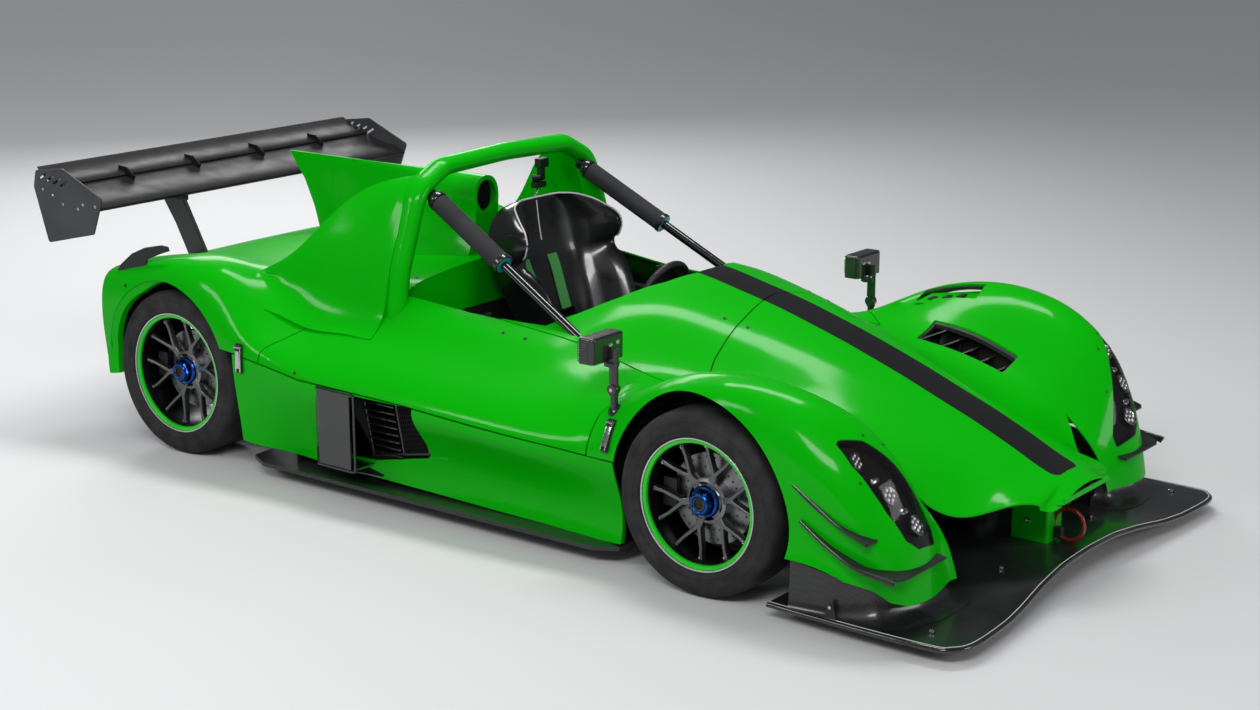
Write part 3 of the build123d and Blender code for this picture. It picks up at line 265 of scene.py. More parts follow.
EVEN = (300, 300, 300)
MATS = {
    "paint": paint("green_paint_plain"),
    "stripe": paint("green_paint_striped", stripe=True),
    "weave": carbon("carbon_weave", (0.007, 0.007, 0.008), 0.65, scale=170),
    "carbon_matt": carbon("carbon_satin", (0.014, 0.014, 0.015), 0.5, gloss=0.35),
    "black": plastic("black_moulded", (0.012, 0.012, 0.013), 0.5),
    "gloss_black": plastic("black_gloss", (0.008, 0.008, 0.009), 0.3, relief=0.05, Coat_Weight=1.0,
                           Coat_Roughness=0.06),
    "plate": plastic("grey_plate_satin", (0.045, 0.046, 0.048), 0.45, relief=0.15),
    "steel": metal("dark_coated_steel", (0.05, 0.05, 0.055), 0.38),
    "stay": metal("stay_gloss_steel", (0.06, 0.06, 0.065), 0.22, Coat_Weight=0.8),
    "bright": metal("bright_steel", (0.75, 0.75, 0.76), 0.22),
    "cast": metal("cast_alloy", (0.42, 0.42, 0.44), 0.5, scale=EVEN),
    "rim": metal("rim_satin_alloy", (0.2, 0.2, 0.2), 0.34, scale=EVEN),
    "barrel": metal("rim_barrel_alloy", (0.045, 0.045, 0.05), 0.36, scale=EVEN),
    "ring": plastic("green_rim_ring", (0.003, 0.5, 0.004), 0.35, relief=0.03, Coat_Weight=0.4),
    "wing": plastic("wing_satin_black", (0.007, 0.007, 0.008), 0.5, relief=0.04,
                    Specular_IOR_Level=0.18),
    "reflector": metal("lamp_reflector", (0.8, 0.8, 0.82), 0.16, scale=(500, 500, 500)),
    "pod": plastic("lamp_pod_black", (0.004, 0.004, 0.005), 0.6, Specular_IOR_Level=0.15),
    "chip": plastic("lamp_chip", (0.75, 0.74, 0.68), 0.25, relief=0.02),
    "seat": plastic("seat_black_shell", (0.006, 0.006, 0.007), 0.3, grain=1400, relief=0.05,
                    Coat_Weight=0.7, Coat_Roughness=0.12),
    # Also the pale tube on the splitter's lip, a painted highlight.
    "piping": plastic("pale_piping_and_painted_highlight", (0.55, 0.55, 0.56), 0.45),
    "mesh": metal("duct_mesh_black", (0.04, 0.04, 0.045), 0.45),
    # Near-black matt sheets that paint the shade inside openings.
    "painted_shade": plastic("painted_shade_backing", (0.003, 0.003, 0.003), 0.9, Specular_IOR_Level=0.1),
    "tyre": rubber("tyre_slick"),
    "foam": plastic("foam_sleeve", (0.02, 0.02, 0.022), 0.85, grain=900, relief=0.6),
    "red": plastic("red_coated_steel", (0.16, 0.006, 0.01), 0.3, relief=0.08, Coat_Weight=0.6),
    "web": webbing("green_webbing_weave", (0.01, 0.3, 0.02)),
    "blue": metal("blue_anodised", (0.02, 0.1, 0.45), 0.25),
    "teal": plastic("teal_moulding", (0.01, 0.28, 0.36), 0.4),
    "disc": metal("brake_disc_steel", (0.3, 0.3, 0.31), 0.35, scale=(200, 4, 200)),
}
glass = Maker("clear_lens", (0.02, 0.02, 0.022), 0.03, Alpha=0.12, Coat_Weight=0.6,
              Coat_Roughness=0.02)
glass.roughness(glass.noise(8, 3), 0.02, 0.05)
glass.relief(glass.noise(50, 2), 0.02, 0.0003)
MATS["glass"] = glass.mat

NODES_BY_MATERIAL = {
    "stripe": "front_clam cowl",
    "paint": "side_panels side_pods rear_clam roll_hoop engine_cover_fin nose_mount "
             "rear_wall",
    "glass": "headlamp_lenses",
    "pod": "headlamps",
    "black": "louvres tub front_frame aero_planes dashboard steering_wheel",
    "weave": "splitter",
    "red": "tow_loop",
    "carbon_matt": "floor_panel diffuser wing_pylons",
    "wing": "rear_wing",
    "plate": "wing_end_plates",
    "gloss_black": "side_ducts mirrors",
    "stay": "hoop_stays",
    "foam": "stay_sleeves",
    "seat": "driver_seat",
    "web": "harness",
    "cast": "engine_block gearbox",
    "steel": "rear_frame wishbones knuckle_left knuckle_right rear_uprights",
    "tyre": "tyre_front_left tyre_front_right tyre_rear_left tyre_rear_right",
    "rim": "rim_front_left rim_front_right rim_rear_left rim_rear_right",
}
for key, names in NODES_BY_MATERIAL.items():
    for name in names.split():
        for slot in bpy.data.objects[name].material_slots:
            slot.material = MATS[key]


# ---------------- mesh helpers
TIP = 0.0002                     # the radius at which a lathe closes
at = Matrix.Translation
ONTO_X = Matrix.Rotation(radians(90), 4, "Y")      # turns Z onto X
ONTO_Y = Matrix.Rotation(radians(90), 4, "X")      # turns Z onto -Y


def meshes(count):
    """Empty meshes to build in."""
    return [bmesh.new() for _ in range(count)]


def finish_mesh(name, bm, key, body="car", smooth=35, bevel=0.0):
    """Turn a bmesh into a piece with a material, riding on a body."""
    mesh = bpy.data.meshes.new(name)
    bmesh.ops.recalc_face_normals(bm, faces=bm.faces)
    bm.to_mesh(mesh)
    bm.free()
    obj = bpy.data.objects.new(name, mesh)
    scene.collection.objects.link(obj)
    mesh.materials.append(MATS[key])
    if bevel:
        mod = obj.modifiers.new("bevel", "BEVEL")
        mod.width = bevel
        mod.segments = 2
        mod.limit_method = "ANGLE"
        mod.angle_limit = radians(40)
    for polygon in mesh.polygons:
        polygon.use_smooth = True
    mesh.set_sharp_from_angle(angle=radians(smooth))
    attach(obj, body)
    return obj


def frame_at(origin, z_axis, x_hint=(1, 0, 0)):
    """A matrix at a place with its Z along a direction."""
    z = Vector(z_axis).normalized()
    x = Vector(x_hint) - Vector(x_hint).dot(z) * z
    if x.length < 1e-4:
        x = Vector((0, 1, 0)) - z.y * z
    x.normalize()
    return at(origin) @ Matrix((x, z.cross(x), z)).transposed().to_4x4()


def polar(radius, angle, height=0.0):
    return Vector((radius * cos(angle), radius * sin(angle), height))


def skin(bm, rows, closed=False, caps=False):
    """Faces between rows of vertices, each row closed to a ring or left open."""
    for lower, upper in zip(rows, rows[1:]):
        for k in range(len(lower) if closed else len(lower) - 1):
            n = (k + 1) % len(lower)
            bm.faces.new((lower[k], lower[n], upper[n], upper[k]))
    if caps:
        bm.faces.new(rows[0][::-1])
        bm.faces.new(rows[-1])


def lathe(bm, profile, matrix, steps=48):
    """Rings of points (radius, height) about the matrix's Z."""
    rings = []
    for radius, height in profile:
        rings.append([bm.verts.new(matrix @ polar(radius, radians(360 * k / steps), height))
                      for k in range(steps)])
    skin(bm, rings, closed=True)


def rod(bm, matrix, radius, low, high, steps):
    """A closed round bar along the matrix's Z."""
    lathe(bm, [(TIP, low), (radius, low), (radius, high), (TIP, high)], matrix, steps)


def slab(bm, outline, matrix, thickness):
    """A flat outline in the matrix's XY, thickened along its Z."""
    low = [bm.verts.new(matrix @ Vector((x, y, 0))) for x, y in outline]
    high = [bm.verts.new(matrix @ Vector((x, y, thickness))) for x, y in outline]
    bm.faces.new(low[::-1])
    bm.faces.new(high)
    for k in range(len(outline)):
        n = (k + 1) % len(outline)
        bm.faces.new((low[k], low[n], high[n], high[k]))


def cuboid(bm, centre, size, matrix=Matrix()):
    halves = (-0.5, 0.5)
    corners = [bm.verts.new(matrix @ Vector([c + d * s for c, d, s in zip(centre, way, size)]))
               for way in [(dx, dy, dz) for dx in halves for dy in halves for dz in halves]]
    for face in ("0132", "4675", "0451", "2376", "0264", "1573"):
        bm.faces.new([corners[int(k)] for k in face])


def smooth_points(points, per=6):
    """Points on a smooth line through the given points."""
    points = [Vector(p) for p in points]
    result = []
    for k in range(len(points) - 1):
        p0, p1 = points[max(k - 1, 0)], points[k]
        p2, p3 = points[k + 1], points[min(k + 2, len(points) - 1)]
        for i in range(per):
            t = i / per
            result.append(0.5 * (2 * p1 + (p2 - p0) * t + (2 * p0 - 5 * p1 + 4 * p2 - p3) * t * t
                                 + (3 * p1 - p0 - 3 * p2 + p3) * t ** 3))
    result.append(points[-1])
    return result


def heading(line, k):
    """The direction of a line of points at its point k."""
    return (line[min(k + 1, len(line) - 1)] - line[max(k - 1, 0)]).normalized()


def sweep_tube(bm, points, radius, sides=10, hint=(0, 0, 1), caps=True):
    """A tube of constant section along points."""
    points, rings = [Vector(p) for p in points], []
    for k, point in enumerate(points):
        along = heading(points, k)
        side = along.cross(Vector(hint))
        if side.length < 1e-4:
            side = along.cross(Vector((0, 1, 0)))
        side.normalize()
        up = side.cross(along)
        rings.append([bm.verts.new(point + radius * (cos(a) * side + sin(a) * up))
                      for a in [2 * pi * s / sides for s in range(sides)]])
    skin(bm, rings, closed=True, caps=caps)


def both_sides(build):
    """Run a builder for the left (1) and the right (-1)."""
    for side in (1, -1):
        build(side)


def flip(side, *places):
    """Places on the left, or their mirror images on the right."""
    return [(x, side * y, z) for x, y, z in places]


def word(side):
    return "left" if side > 0 else "right"


def ray_to_skin(nodes, origin, direction):
    """Where a line first meets the CAD skin: the place and the normal towards its start."""
    origin, direction, best = Vector(origin), Vector(direction), None
    for name in nodes:
        hit, place, normal, _ = bpy.data.objects[name].ray_cast(origin, direction)
        far = (place - origin).length
        if hit and (best is None or far < best[2]):
            best = (place, -normal if normal.dot(direction) > 0 else normal, far)
    return best and best[:2]


def fastener(bm, place, normal, radius, height):
    """A flush round fastener with a recessed slot ring."""
    m = frame_at(Vector(place) - 0.001 * Vector(normal), normal)
    lathe(bm, [(radius, 0), (radius, height * 0.7), (radius * 0.86, height),
               (radius * 0.55, height), (radius * 0.45, height * 0.4), (TIP, height * 0.4)],
          m, 14)


def fasten(bm, hits, radius, height=0.0025):
    """A fastener wherever a ray met the skin."""
    for hit in hits:
        if hit:
            fastener(bm, *hit, radius, height)


def hex_bolt(bm, place, normal, across, height):
    """A hexagon head on a round washer."""
    m = frame_at(Vector(place) - 0.001 * Vector(normal), normal)
    lathe(bm, [(across * 0.85, 0), (across * 0.85, height * 0.25)], m, 16)
    lathe(bm, [(across * 0.62, height * 0.2), (across * 0.62, height * 0.9), (across * 0.5, height),
               (TIP, height)], m, 6)


# ---------------- wheels
WHEELS = {"front_left": (0.201, 1), "front_right": (0.201, -1),
          "rear_left": (0.214, 1), "rear_right": (0.214, -1)}
SPOKE_COUNT = 6
FIRST_TRUNK = 12.0               # degrees from the wheel's forward line to the first trunk
FORK_ANGLE = 15.0                # degrees from the trunk to each tip
TREAD_STEP = 0.016               # from the tyre's side to the rim's edge


def spoke_bar(bm, out, stations):
    """A bar of trapezoid section through stations of (place, across, half, face, depth)."""
    rings = []
    for place, across, half, face, deep in stations:
        section = ((1.25, deep), (1.0, 0.004), (0.68, 0), (-0.68, 0), (-1.0, 0.004), (-1.25, deep))
        rings.append([bm.verts.new(out @ (place + across * half * share
                                          + Vector((0, 0, face - drop))))
                      for share, drop in section])
    skin(bm, rings, closed=True, caps=True)


def forked_spokes(bm, out, reach, edge):
    """Six trunks that each fork to two tips on the barrel."""
    fork_radius = 0.5 * reach
    for index in range(SPOKE_COUNT):
        trunk = 2 * pi * index / SPOKE_COUNT + radians(FIRST_TRUNK)
        for fork in (-1, 1):
            start = polar(fork_radius, trunk)
            stop = polar(reach, trunk + fork * radians(FORK_ANGLE))
            inward = polar(1, trunk)
            side_way = Vector((-inward.y, inward.x, 0))
            branch = (stop - start).normalized()
            cross = Vector((-branch.y, branch.x, 0))
            both = (side_way + cross).normalized()
            stations = [(base + fork * shift * side_way, across, half, edge - drop, 0.022)
                        for base, shift, across, half, drop in (
                            (0.036 * inward, 0.006, side_way, 0.016, 0.05),
                            (0.7 * fork_radius * inward, 0.004, side_way, 0.0092, 0.047),
                            (start, 0.0035, both, 0.0082, 0.044))]
            for share, half, drop in ((0.3, 0.0068, 0.041), (0.65, 0.0062, 0.037),
                                      (0.92, 0.0068, 0.032), (1.0, 0.01, 0.03)):
                place = start.lerp(stop, share) + fork * 0.0045 * sin(pi * share) * cross
                stations.append((place, cross, half, edge - drop, 0.02))
            spoke_bar(bm, out, stations)


def hub_face(bm, out, edge):
    """The scalloped hub that the trunks grow from."""
    rings = []
    angles = [2 * pi * k / 72 for k in range(72)]
    for base, swell, drop in ((0.052, 0.016, 0.078), (0.055, 0.018, 0.056), (0.052, 0.016, 0.051),
                              (0.046, 0.004, 0.046), (0.034, 0.0, 0.044)):
        ring = []
        for angle in angles:
            lobe = 0.5 + 0.5 * cos(SPOKE_COUNT * (angle - radians(FIRST_TRUNK)))
            ring.append(bm.verts.new(out @ polar(base + swell * lobe ** 1.5, angle, edge - drop)))
        rings.append(ring)
    skin(bm, rings, closed=True)


def slick_profile(tyre_radius, ring, half):
    """The tyre's section from bead to bead, with a moulded step on each wall."""
    bead = ((0.0065, 0.016), (0.008, 0.008), (0.014, 0.0035), (0.024, 0.0008), (0.0245, 0.0016),
            (0.0265, 0.0016), (0.027, 0.0004), (0.038, 0.0002))
    shoulder = ((0.036, 0.002), (0.0355, 0.003), (0.0335, 0.0032), (0.033, 0.0026), (0.02, 0.007),
                (0.011, 0.013), (0.0045, 0.023), (0.001, 0.038), (0.0, 0.055))
    one = [(ring + rise, half - inset) for rise, inset in bead]
    one += [(tyre_radius - drop, half - inset) for drop, inset in shoulder]
    return one + [(r, -h) for r, h in reversed(one)]


def wheel(corner, ring_radius, side):
    """Forked-spoke wheel with a green ring, brake disc and centre-lock nut."""
    low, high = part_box(f"tyre_{corner}")
    centre = [(a + b) / 2 for a, b in zip(low, high)]
    half = (high[1] - low[1]) / 2
    edge = half - TREAD_STEP
    body = f"wheel_{corner}"
    out = frame_at(centre, (0, side, 0))
    rr = ring_radius + 0.004

    def turned(name, key, smooth, *lathes, base=0.0, bevel=0.0):
        """A piece of lathes of (points, steps): radii from base, heights from the rim's edge."""
        bm = bmesh.new()
        for points, steps in lathes:
            lathe(bm, [(base + r, edge + h) for r, h in points], out, steps)
        finish_mesh(f"{name}_{corner}", bm, key, body, smooth, bevel)

    bm = bmesh.new()
    inner_wall = ((0, 0), (0, 0.006), (0.008, 0.01), (0.018, 0.022))
    outer_wall = ((0.018, 0.03), (0.014, 0.016), (0.0145, 0.009), (0.0175, 0.009), (0.019, 0.014),
                  (0.022, 0.028))
    lathe(bm, [(rr - d, -edge + h) for d, h in inner_wall] + [(rr - 0.02, 0.0)]
          + [(rr - d, edge - h) for d, h in outer_wall] + [(rr - 0.025, 0.0)]
          + [(rr - d, -edge + h) for d, h in ((0.025, 0.02), (0.012, 0), (0, 0))], out, 72)
    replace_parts(finish_mesh(f"rim_barrel_{corner}", bm, "barrel", body, 30), f"rim_{corner}")
    turned("brake_disc", "disc", 30,
           (((0.024, -0.094), (0.068, -0.094), (0.07, -0.088), (0.07, -0.05), (0.06, -0.046)), 36),
           (((0.07, -0.082), (0.142, -0.082), (0.142, -0.091), (0.138, -0.093), (0.138, -0.097),
             (0.142, -0.099), (0.142, -0.108), (0.07, -0.108)), 64))
    turned("rim_green_ring", "ring", 40,
           (((-0.0045, -0.008), (-0.0035, -0.002), (-0.0045, 0.0005), (-0.01, 0.001),
             (-0.015, -0.001), (-0.0175, -0.006), (-0.0175, -0.009)), 72), base=rr)
    turned("rim_lip", "bright", 40,
           (((0.0035, -0.01), (0.0035, 0.003), (0.001, 0.0052), (-0.0028, 0.0046),
             (-0.0042, -0.001)), 72), base=rr)
    bm = bmesh.new()
    forked_spokes(bm, out, rr - 0.021, edge)
    hub_face(bm, out, edge)
    finish_mesh(f"rim_spokes_{corner}", bm, "rim", body, 30, bevel=0.0012)
    bm = bmesh.new()
    for k in range(2 * SPOKE_COUNT):
        angle = 2 * pi * k / (2 * SPOKE_COUNT) + radians(FIRST_TRUNK - FORK_ANGLE)
        hex_bolt(bm, out @ polar(rr - 0.029, angle, edge - 0.03), (0, side, 0), 0.0045, 0.004)
    finish_mesh(f"rim_bolts_{corner}", bm, "bright", body, 40)
    turned("rim_nut", "blue", 25,
           (((0.049, -0.05), (0.05, -0.042), (0.046, -0.036), (0.041, -0.034)), 48),
           (((0.041, -0.04), (0.04, -0.018), (0.036, -0.013), (0.028, -0.013)), 6),
           (((0.034, -0.02), (0.034, -0.01), (0.03, -0.006), (0.024, -0.006), (0.022, -0.01),
             (0.022, -0.06)), 40), bevel=0.0012)
    turned("rim_nut_bore", "gloss_black", 40,
           (((0.0215, -0.05), (0.0215, -0.008), (0.0175, -0.007), (0.0165, -0.012),
             (0.0165, -0.05), (TIP, -0.05)), 24))
    # Black dots on the disc's face are painted shade for its drilled holes.
    bm = bmesh.new()
    for k in range(28):
        angle = 2 * pi * (k + 0.5) / 28
        for radius in (0.098, 0.128):
            lathe(bm, [(0.0035, 0), (0.0035, 0.0006), (TIP, 0.0006)],
                  frame_at(out @ polar(radius, angle + radius * 4, edge - 0.0815),
                           (0, side, 0)), 8)
    finish_mesh(f"disc_holes_{corner}", bm, "black", body, 40)
    bm = bmesh.new()
    lathe(bm, slick_profile((high[2] - low[2]) / 2, ring_radius, half), out, 96)
    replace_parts(finish_mesh(f"tyre_slick_{corner}", bm, "tyre", body, 50), f"tyre_{corner}")


for corner, (ring_radius, side) in WHEELS.items():
    wheel(corner, ring_radius, side)


# ---------------- body trim
FRONT_AXLE = (1.08, 0.29)      # x, z
REAR_AXLE = (-1.277, 0.3025)
SKIN = ["front_clam", "cowl", "side_panels", "side_pods", "rear_clam", "roll_hoop",
        "engine_cover_fin"]


def on_top(x, y, nodes=SKIN):
    """The skin's place and normal seen from straight above."""
    return ray_to_skin(nodes, (x, y, 2.0), (0, 0, -1))


def on_side(x, z, side, nodes=SKIN):
    """The skin's place and normal seen square from one side."""
    return ray_to_skin(nodes, (x, side * 2.0, z), (0, -side, 0))


def seam_fasteners():
    """Small dark quarter-turn fasteners along the panel edges."""
    bm = bmesh.new()
    for side in (1, -1):
        fasten(bm, [on_top(x, side * y) for x, y in (
            (0.835, 0.24), (0.752, 0.25), (0.173, 0.56), (0.079, 0.56), (-0.43, 0.42))], 0.0065)
        fasten(bm, [on_side(x, z, side) for x, z in (
            (-0.42, 0.375), (-0.6, 0.425), (-1.5, 0.6), (-1.6, 0.36))], 0.0065)
    finish_mesh("panel_fasteners", bm, "steel", smooth=30)


def lamp_screws():
    """Small screws around each headlamp."""
    bm = bmesh.new()
    for side in (1, -1):
        towards = (-0.8, side * 0.14, -0.57)
        fasten(bm, [ray_to_skin(["front_clam"], (x + 0.8, side * (y - 0.14), z + 0.57), towards)
                    for x, y, z in ((1.545, 0.83, 0.52), (1.545, 0.76, 0.545), (1.585, 0.7, 0.515),
                                    (1.625, 0.838, 0.455), (1.66, 0.8, 0.41), (1.7, 0.76, 0.345),
                                    (1.665, 0.64, 0.4), (1.715, 0.625, 0.31), (1.745, 0.7, 0.27))],
               0.005, 0.002)
    finish_mesh("lamp_screws", bm, "steel", smooth=30)


def latches():
    """Over-centre latches: black bases, bright arms and hooks."""
    base, arm = meshes(2)
    for side in (1, -1):
        for x, z in ((-0.862, 0.437), (0.714, 0.428)):
            m = frame_at(*on_side(x, z, side), (0, 0, 1))
            cuboid(base, (0, 0, 0.003), (0.105, 0.03, 0.006), m)
            cuboid(base, (0.038, 0, 0.009), (0.022, 0.024, 0.01), m)
            cuboid(arm, (-0.004, 0, 0.012), (0.062, 0.016, 0.004), m)
            for y in (-0.01, 0.01):
                rod(arm, m @ at((0, y, 0.01)) @ ONTO_X, 0.0028, -0.048, 0.036, 8)
            rod(arm, m @ at((0.04, 0, 0.012)) @ ONTO_Y, 0.0045, -0.015, 0.015, 10)
    finish_mesh("latch_bases", base, "black", bevel=0.0015)
    finish_mesh("latch_arms", arm, "bright", bevel=0.0008)


def arch_liners():
    """Black liners inside the wheel arches."""
    radius, steps = 0.331, 40
    for name, (x, z), inner, outer, low in (("front", FRONT_AXLE, 0.668, 0.782, -14),
                                            ("rear", REAR_AXLE, 0.54, 0.785, -8)):
        for side in (1, -1):
            bm = bmesh.new()
            rows = []
            for k in range(steps + 1):
                angle = radians(low + (180 - 2 * low) * k / steps)
                rows.append([bm.verts.new((x + radius * cos(angle), side * y,
                                           z + radius * sin(angle)))
                             for y in (inner, (inner + outer) / 2, outer)])
            skin(bm, rows)
            finish_mesh(f"arch_liner_{name}_{word(side)}", bm, "black")


def vent_trays():
    """Stepped trays under the crown vents, with painted shade: dark sheets under the louvres and a
    dark disc for the intake.
    """
    trays, slots, shade_backs = meshes(3)
    for side in (1, -1):
        quad_sheet(trays, flip(side, (0.93, 0.645, 0.606), (0.955, 0.735, 0.628),
                               (1.155, 0.778, 0.657), (1.14, 0.68, 0.63)))
        for k in range(3):
            x = 0.985 + 0.05 * k
            cuboid(slots, (x, side * (0.69 + 0.012 * k), 0.6245 + 0.0085 * k),
                   (0.02, 0.05, 0.004))
        # A dark sheet of painted shade behind the louvres.
        quad_sheet(shade_backs, flip(side, (1.02, 0.478, 0.478), (1.02, 0.604, 0.536),
                               (1.4, 0.604, 0.502), (1.4, 0.478, 0.412)))
        for k in range(5):
            x = 1.075 + 0.07 * k
            low = 0.478 - 0.118 * (x - 1.02) / 0.38
            slab(slots, [(0.0, -0.004), (0.0, 0.036), (0.112, 0.106), (0.112, 0.02)],
                 frame_at((x, side * 0.484, low + 0.022), (0.8, 0, 0.6), (0, side, 0)), 0.003)
    # A dark disc of painted shade in the hoop's intake.
    lathe(shade_backs, [(TIP, 0.0), (0.047, 0.0)],
          at((-0.492, 0, 0.923)) @ ONTO_X
          @ Matrix.Diagonal((1.38, 1, 1, 1)), 32)
    finish_mesh("vent_trays", trays, "paint")
    finish_mesh("vent_slots", slots, "black", bevel=0.0006)
    finish_mesh("vent_backs", shade_backs, "painted_shade")


def camera_mount():
    """A small black camera clamp inside the hoop's far corner, on a short bright rod."""
    dark, bright = meshes(2)
    cuboid(dark, (-0.545, 0.405, 0.985), (0.03, 0.05, 0.034))
    cuboid(dark, (-0.545, 0.4, 0.945), (0.024, 0.022, 0.05))
    cuboid(dark, (-0.545, 0.385, 0.905), (0.03, 0.06, 0.022))
    rod(dark, frame_at((-0.545, 0.37, 0.93), (0.6, 0.8, 0)), 0.014, -0.016, 0.016, 20)
    sweep_tube(bright, [(-0.545, 0.385, 0.895), (-0.545, 0.33, 0.815)], 0.0055, 10)
    finish_mesh("camera_clamp", dark, "black", bevel=0.002)
    finish_mesh("camera_rod", bright, "bright", smooth=60)


def rear_flanges(side):
    """The rear arch's flange, which closes round the tyre and runs down behind it."""
    bm = bmesh.new()
    rows = []
    centre = Vector((REAR_AXLE[0], 0, REAR_AXLE[1]))
    start, sweep, steps = 92, 97, 31         # degrees from the arch's crown to its rear foot
    for k in range(steps + 1):
        angle = radians(start + sweep * k / steps)
        direction = Vector((cos(angle), 0, sin(angle)))
        reach = 0.35 + 0.015 * max(0.0, min(1.0, (k - 22) / 4))
        edge = centre + 0.358 * direction
        found = on_side(edge.x, edge.z, side, ["rear_clam"])
        y = found[0].y if found and k < 25 else side * 0.797
        taper = 0.3 + 0.7 * min(1.0, k / 7)
        row = []
        for radius, inset in ((reach, -0.0005), (0.33, 0.001), (0.316, 0.006), (0.314, 0.03)):
            place = centre + (reach + (radius - reach) * taper) * direction
            row.append(bm.verts.new((place.x, y - side * inset, place.z)))
        rows.append(row)
    skin(bm, rows)
    finish_mesh(f"rear_arch_flange_{word(side)}", bm, "paint", smooth=60)


def wing_fittings():
    """Bolts in the end plates, the pylons' upper brackets and their slim rear struts."""
    bolts, dark = meshes(2)
    for side in (1, -1):
        fasten(bolts, [on_side(x, z, side, ["wing_end_plates"]) for x, z in (
            (-1.94, 0.906), (-1.884, 0.89), (-1.829, 0.862), (-1.745, 0.853), (-1.715, 0.872),
            (-1.648, 0.872))], 0.0058)
        cuboid(dark, (-1.712, side * 0.37, 0.864), (0.11, 0.034, 0.014))
        cuboid(dark, (-1.69, side * 0.37, 0.846), (0.07, 0.02, 0.03))
        for x in (-1.67, -1.725):
            lathe(bolts, [(0.006, 0.0), (0.006, 0.005), (TIP, 0.006)],
                  frame_at((x, side * 0.387, 0.864), (0, side, 0)), 6)
        sweep_tube(dark, flip(side, (-1.646, 0.392, 0.85), (-1.512, 0.392, 0.615)), 0.0065, 10)
    finish_mesh("wing_bolts", bolts, "bright", smooth=30)
    finish_mesh("wing_brackets", dark, "black", bevel=0.001, smooth=50)


# ---------------- headlamps and flat sheets
LAMP_FACING = Vector((0.8, -0.14, 0.57)).normalized()      # for the left lamp
LAMP_CHIP = ((0.004, 0.0008), (0.003, 0.0022), (TIP, 0.0026))


def lamp_unit(dark, bright, chip, place, facing):
    """A round lamp: dark ring, stepped reflector and six small cones."""
    m = frame_at(place, facing)
    lathe(dark, [(0.0325, -0.012), (0.0325, 0.004), (0.03, 0.005), (0.0285, 0.003),
                 (0.0285, -0.001)], m, 40)
    lathe(bright, [(0.0285, 0.0005), (0.023, -0.001), (0.023, 0.0012), (TIP, 0.0006)], m, 24)
    for k in range(6):
        spot = m @ at(polar(0.017, radians(60 * k), 0.001))
        lathe(bright, [(0.008, 0.0025), (0.0062, 0.0012), (0.004, 0.0005)], spot, 6)
        lathe(chip, LAMP_CHIP, spot, 8)
    lathe(bright, [(0.0085, 0.0028), (0.006, 0.0012), (0.004, 0.0006)], m, 6)
    lathe(chip, LAMP_CHIP, m, 8)


def lamp_seat(place, facing, lift):
    """The place over the pod's inner wall, and an axis between the wall's and the lamp's."""
    wall, normal = ray_to_skin(["headlamps"], Vector(place) + 0.2 * facing, -facing)
    return wall + lift * facing, (facing + 0.6 * normal).normalized()


def lamp_details():
    """Three lamps in each pod, with two small side lights between them."""
    dark, bright, chip = meshes(3)
    for side in (1, -1):
        facing = Vector(*flip(side, LAMP_FACING))
        for place in flip(side, (1.58, 0.8, 0.497), (1.662, 0.762, 0.4), (1.714, 0.708, 0.306)):
            lamp_unit(dark, bright, chip, *lamp_seat(place, facing, 0.012))
        for place in flip(side, (1.628, 0.778, 0.444), (1.694, 0.73, 0.352)):
            m = frame_at(*lamp_seat(place, facing, 0.006), (0, 1, 0))
            lathe(bright, [(0.013, 0.0), (0.01, 0.004), (TIP, 0.0065)],
                  m @ Matrix.Diagonal((1.5, 0.8, 1, 1)), 16)
    finish_mesh("lamp_rings", dark, "gloss_black", smooth=40)
    finish_mesh("lamp_reflectors", bright, "reflector", smooth=20)
    finish_mesh("lamp_chips", chip, "chip", smooth=30)


def grid_sheet(bm, corners, across, along):
    """A flat mesh of bars between four corners."""
    a, b, c, d = [Vector(p) for p in corners]
    normal = (b - a).cross(d - a).normalized()
    for lines, p0, p1, q0, q1 in ((across, a, b, d, c), (along, a, d, b, c)):
        for k in range(lines + 1):
            t = k / lines
            sweep_tube(bm, [p0.lerp(p1, t), q0.lerp(q1, t)], 0.0011, 4, hint=normal, caps=False)


def quad_sheet(bm, corners):
    """One flat face through four corners."""
    bm.faces.new([bm.verts.new(p) for p in corners])


# ---------------- seat, belts, stays and mirrors
SEAT_MIDDLE = 0.15
# Stations from the front of the cushion to the head: x, z, half width, bolster height.
SEAT_LINE = (
    (0.205, 0.212, 0.19, 0.02), (0.12, 0.205, 0.2, 0.045), (0.03, 0.205, 0.205, 0.075),
    (-0.06, 0.222, 0.212, 0.11), (-0.125, 0.265, 0.22, 0.14), (-0.185, 0.36, 0.235, 0.16),
    (-0.232, 0.47, 0.252, 0.165), (-0.272, 0.57, 0.27, 0.16), (-0.3, 0.63, 0.28, 0.14),
    (-0.318, 0.675, 0.286, 0.118), (-0.332, 0.712, 0.291, 0.14), (-0.344, 0.77, 0.293, 0.165),
    (-0.353, 0.82, 0.28, 0.15), (-0.359, 0.865, 0.245, 0.1), (-0.363, 0.895, 0.195, 0.05),
    (-0.365, 0.908, 0.13, 0.02))
# The section's front as (share of the half width, share of the bolster), its back as (share, drop).
SEAT_ACROSS = (
    (1.0, 0.55), (0.985, 0.85), (0.93, 1.0), (0.86, 0.97), (0.78, 0.75), (0.7, 0.42), (0.62, 0.17),
    (0.5, 0.05), (0.25, 0.01))
SEAT_BACK = ((0.98, 0.005), (0.75, 0.012), (0.0, 0.014), (-0.75, 0.012), (-0.98, 0.005))


def seat_place(line, k):
    """The middle of a seat station and the way into the seat from it."""
    before, after = line[max(k - 1, 0)], line[min(k + 1, len(line) - 1)]
    along = Vector((after.x - before.x, 0, after.y - before.y)).normalized()
    return Vector((line[k].x, SEAT_MIDDLE, line[k].y)), Vector((along.z, 0, -along.x))


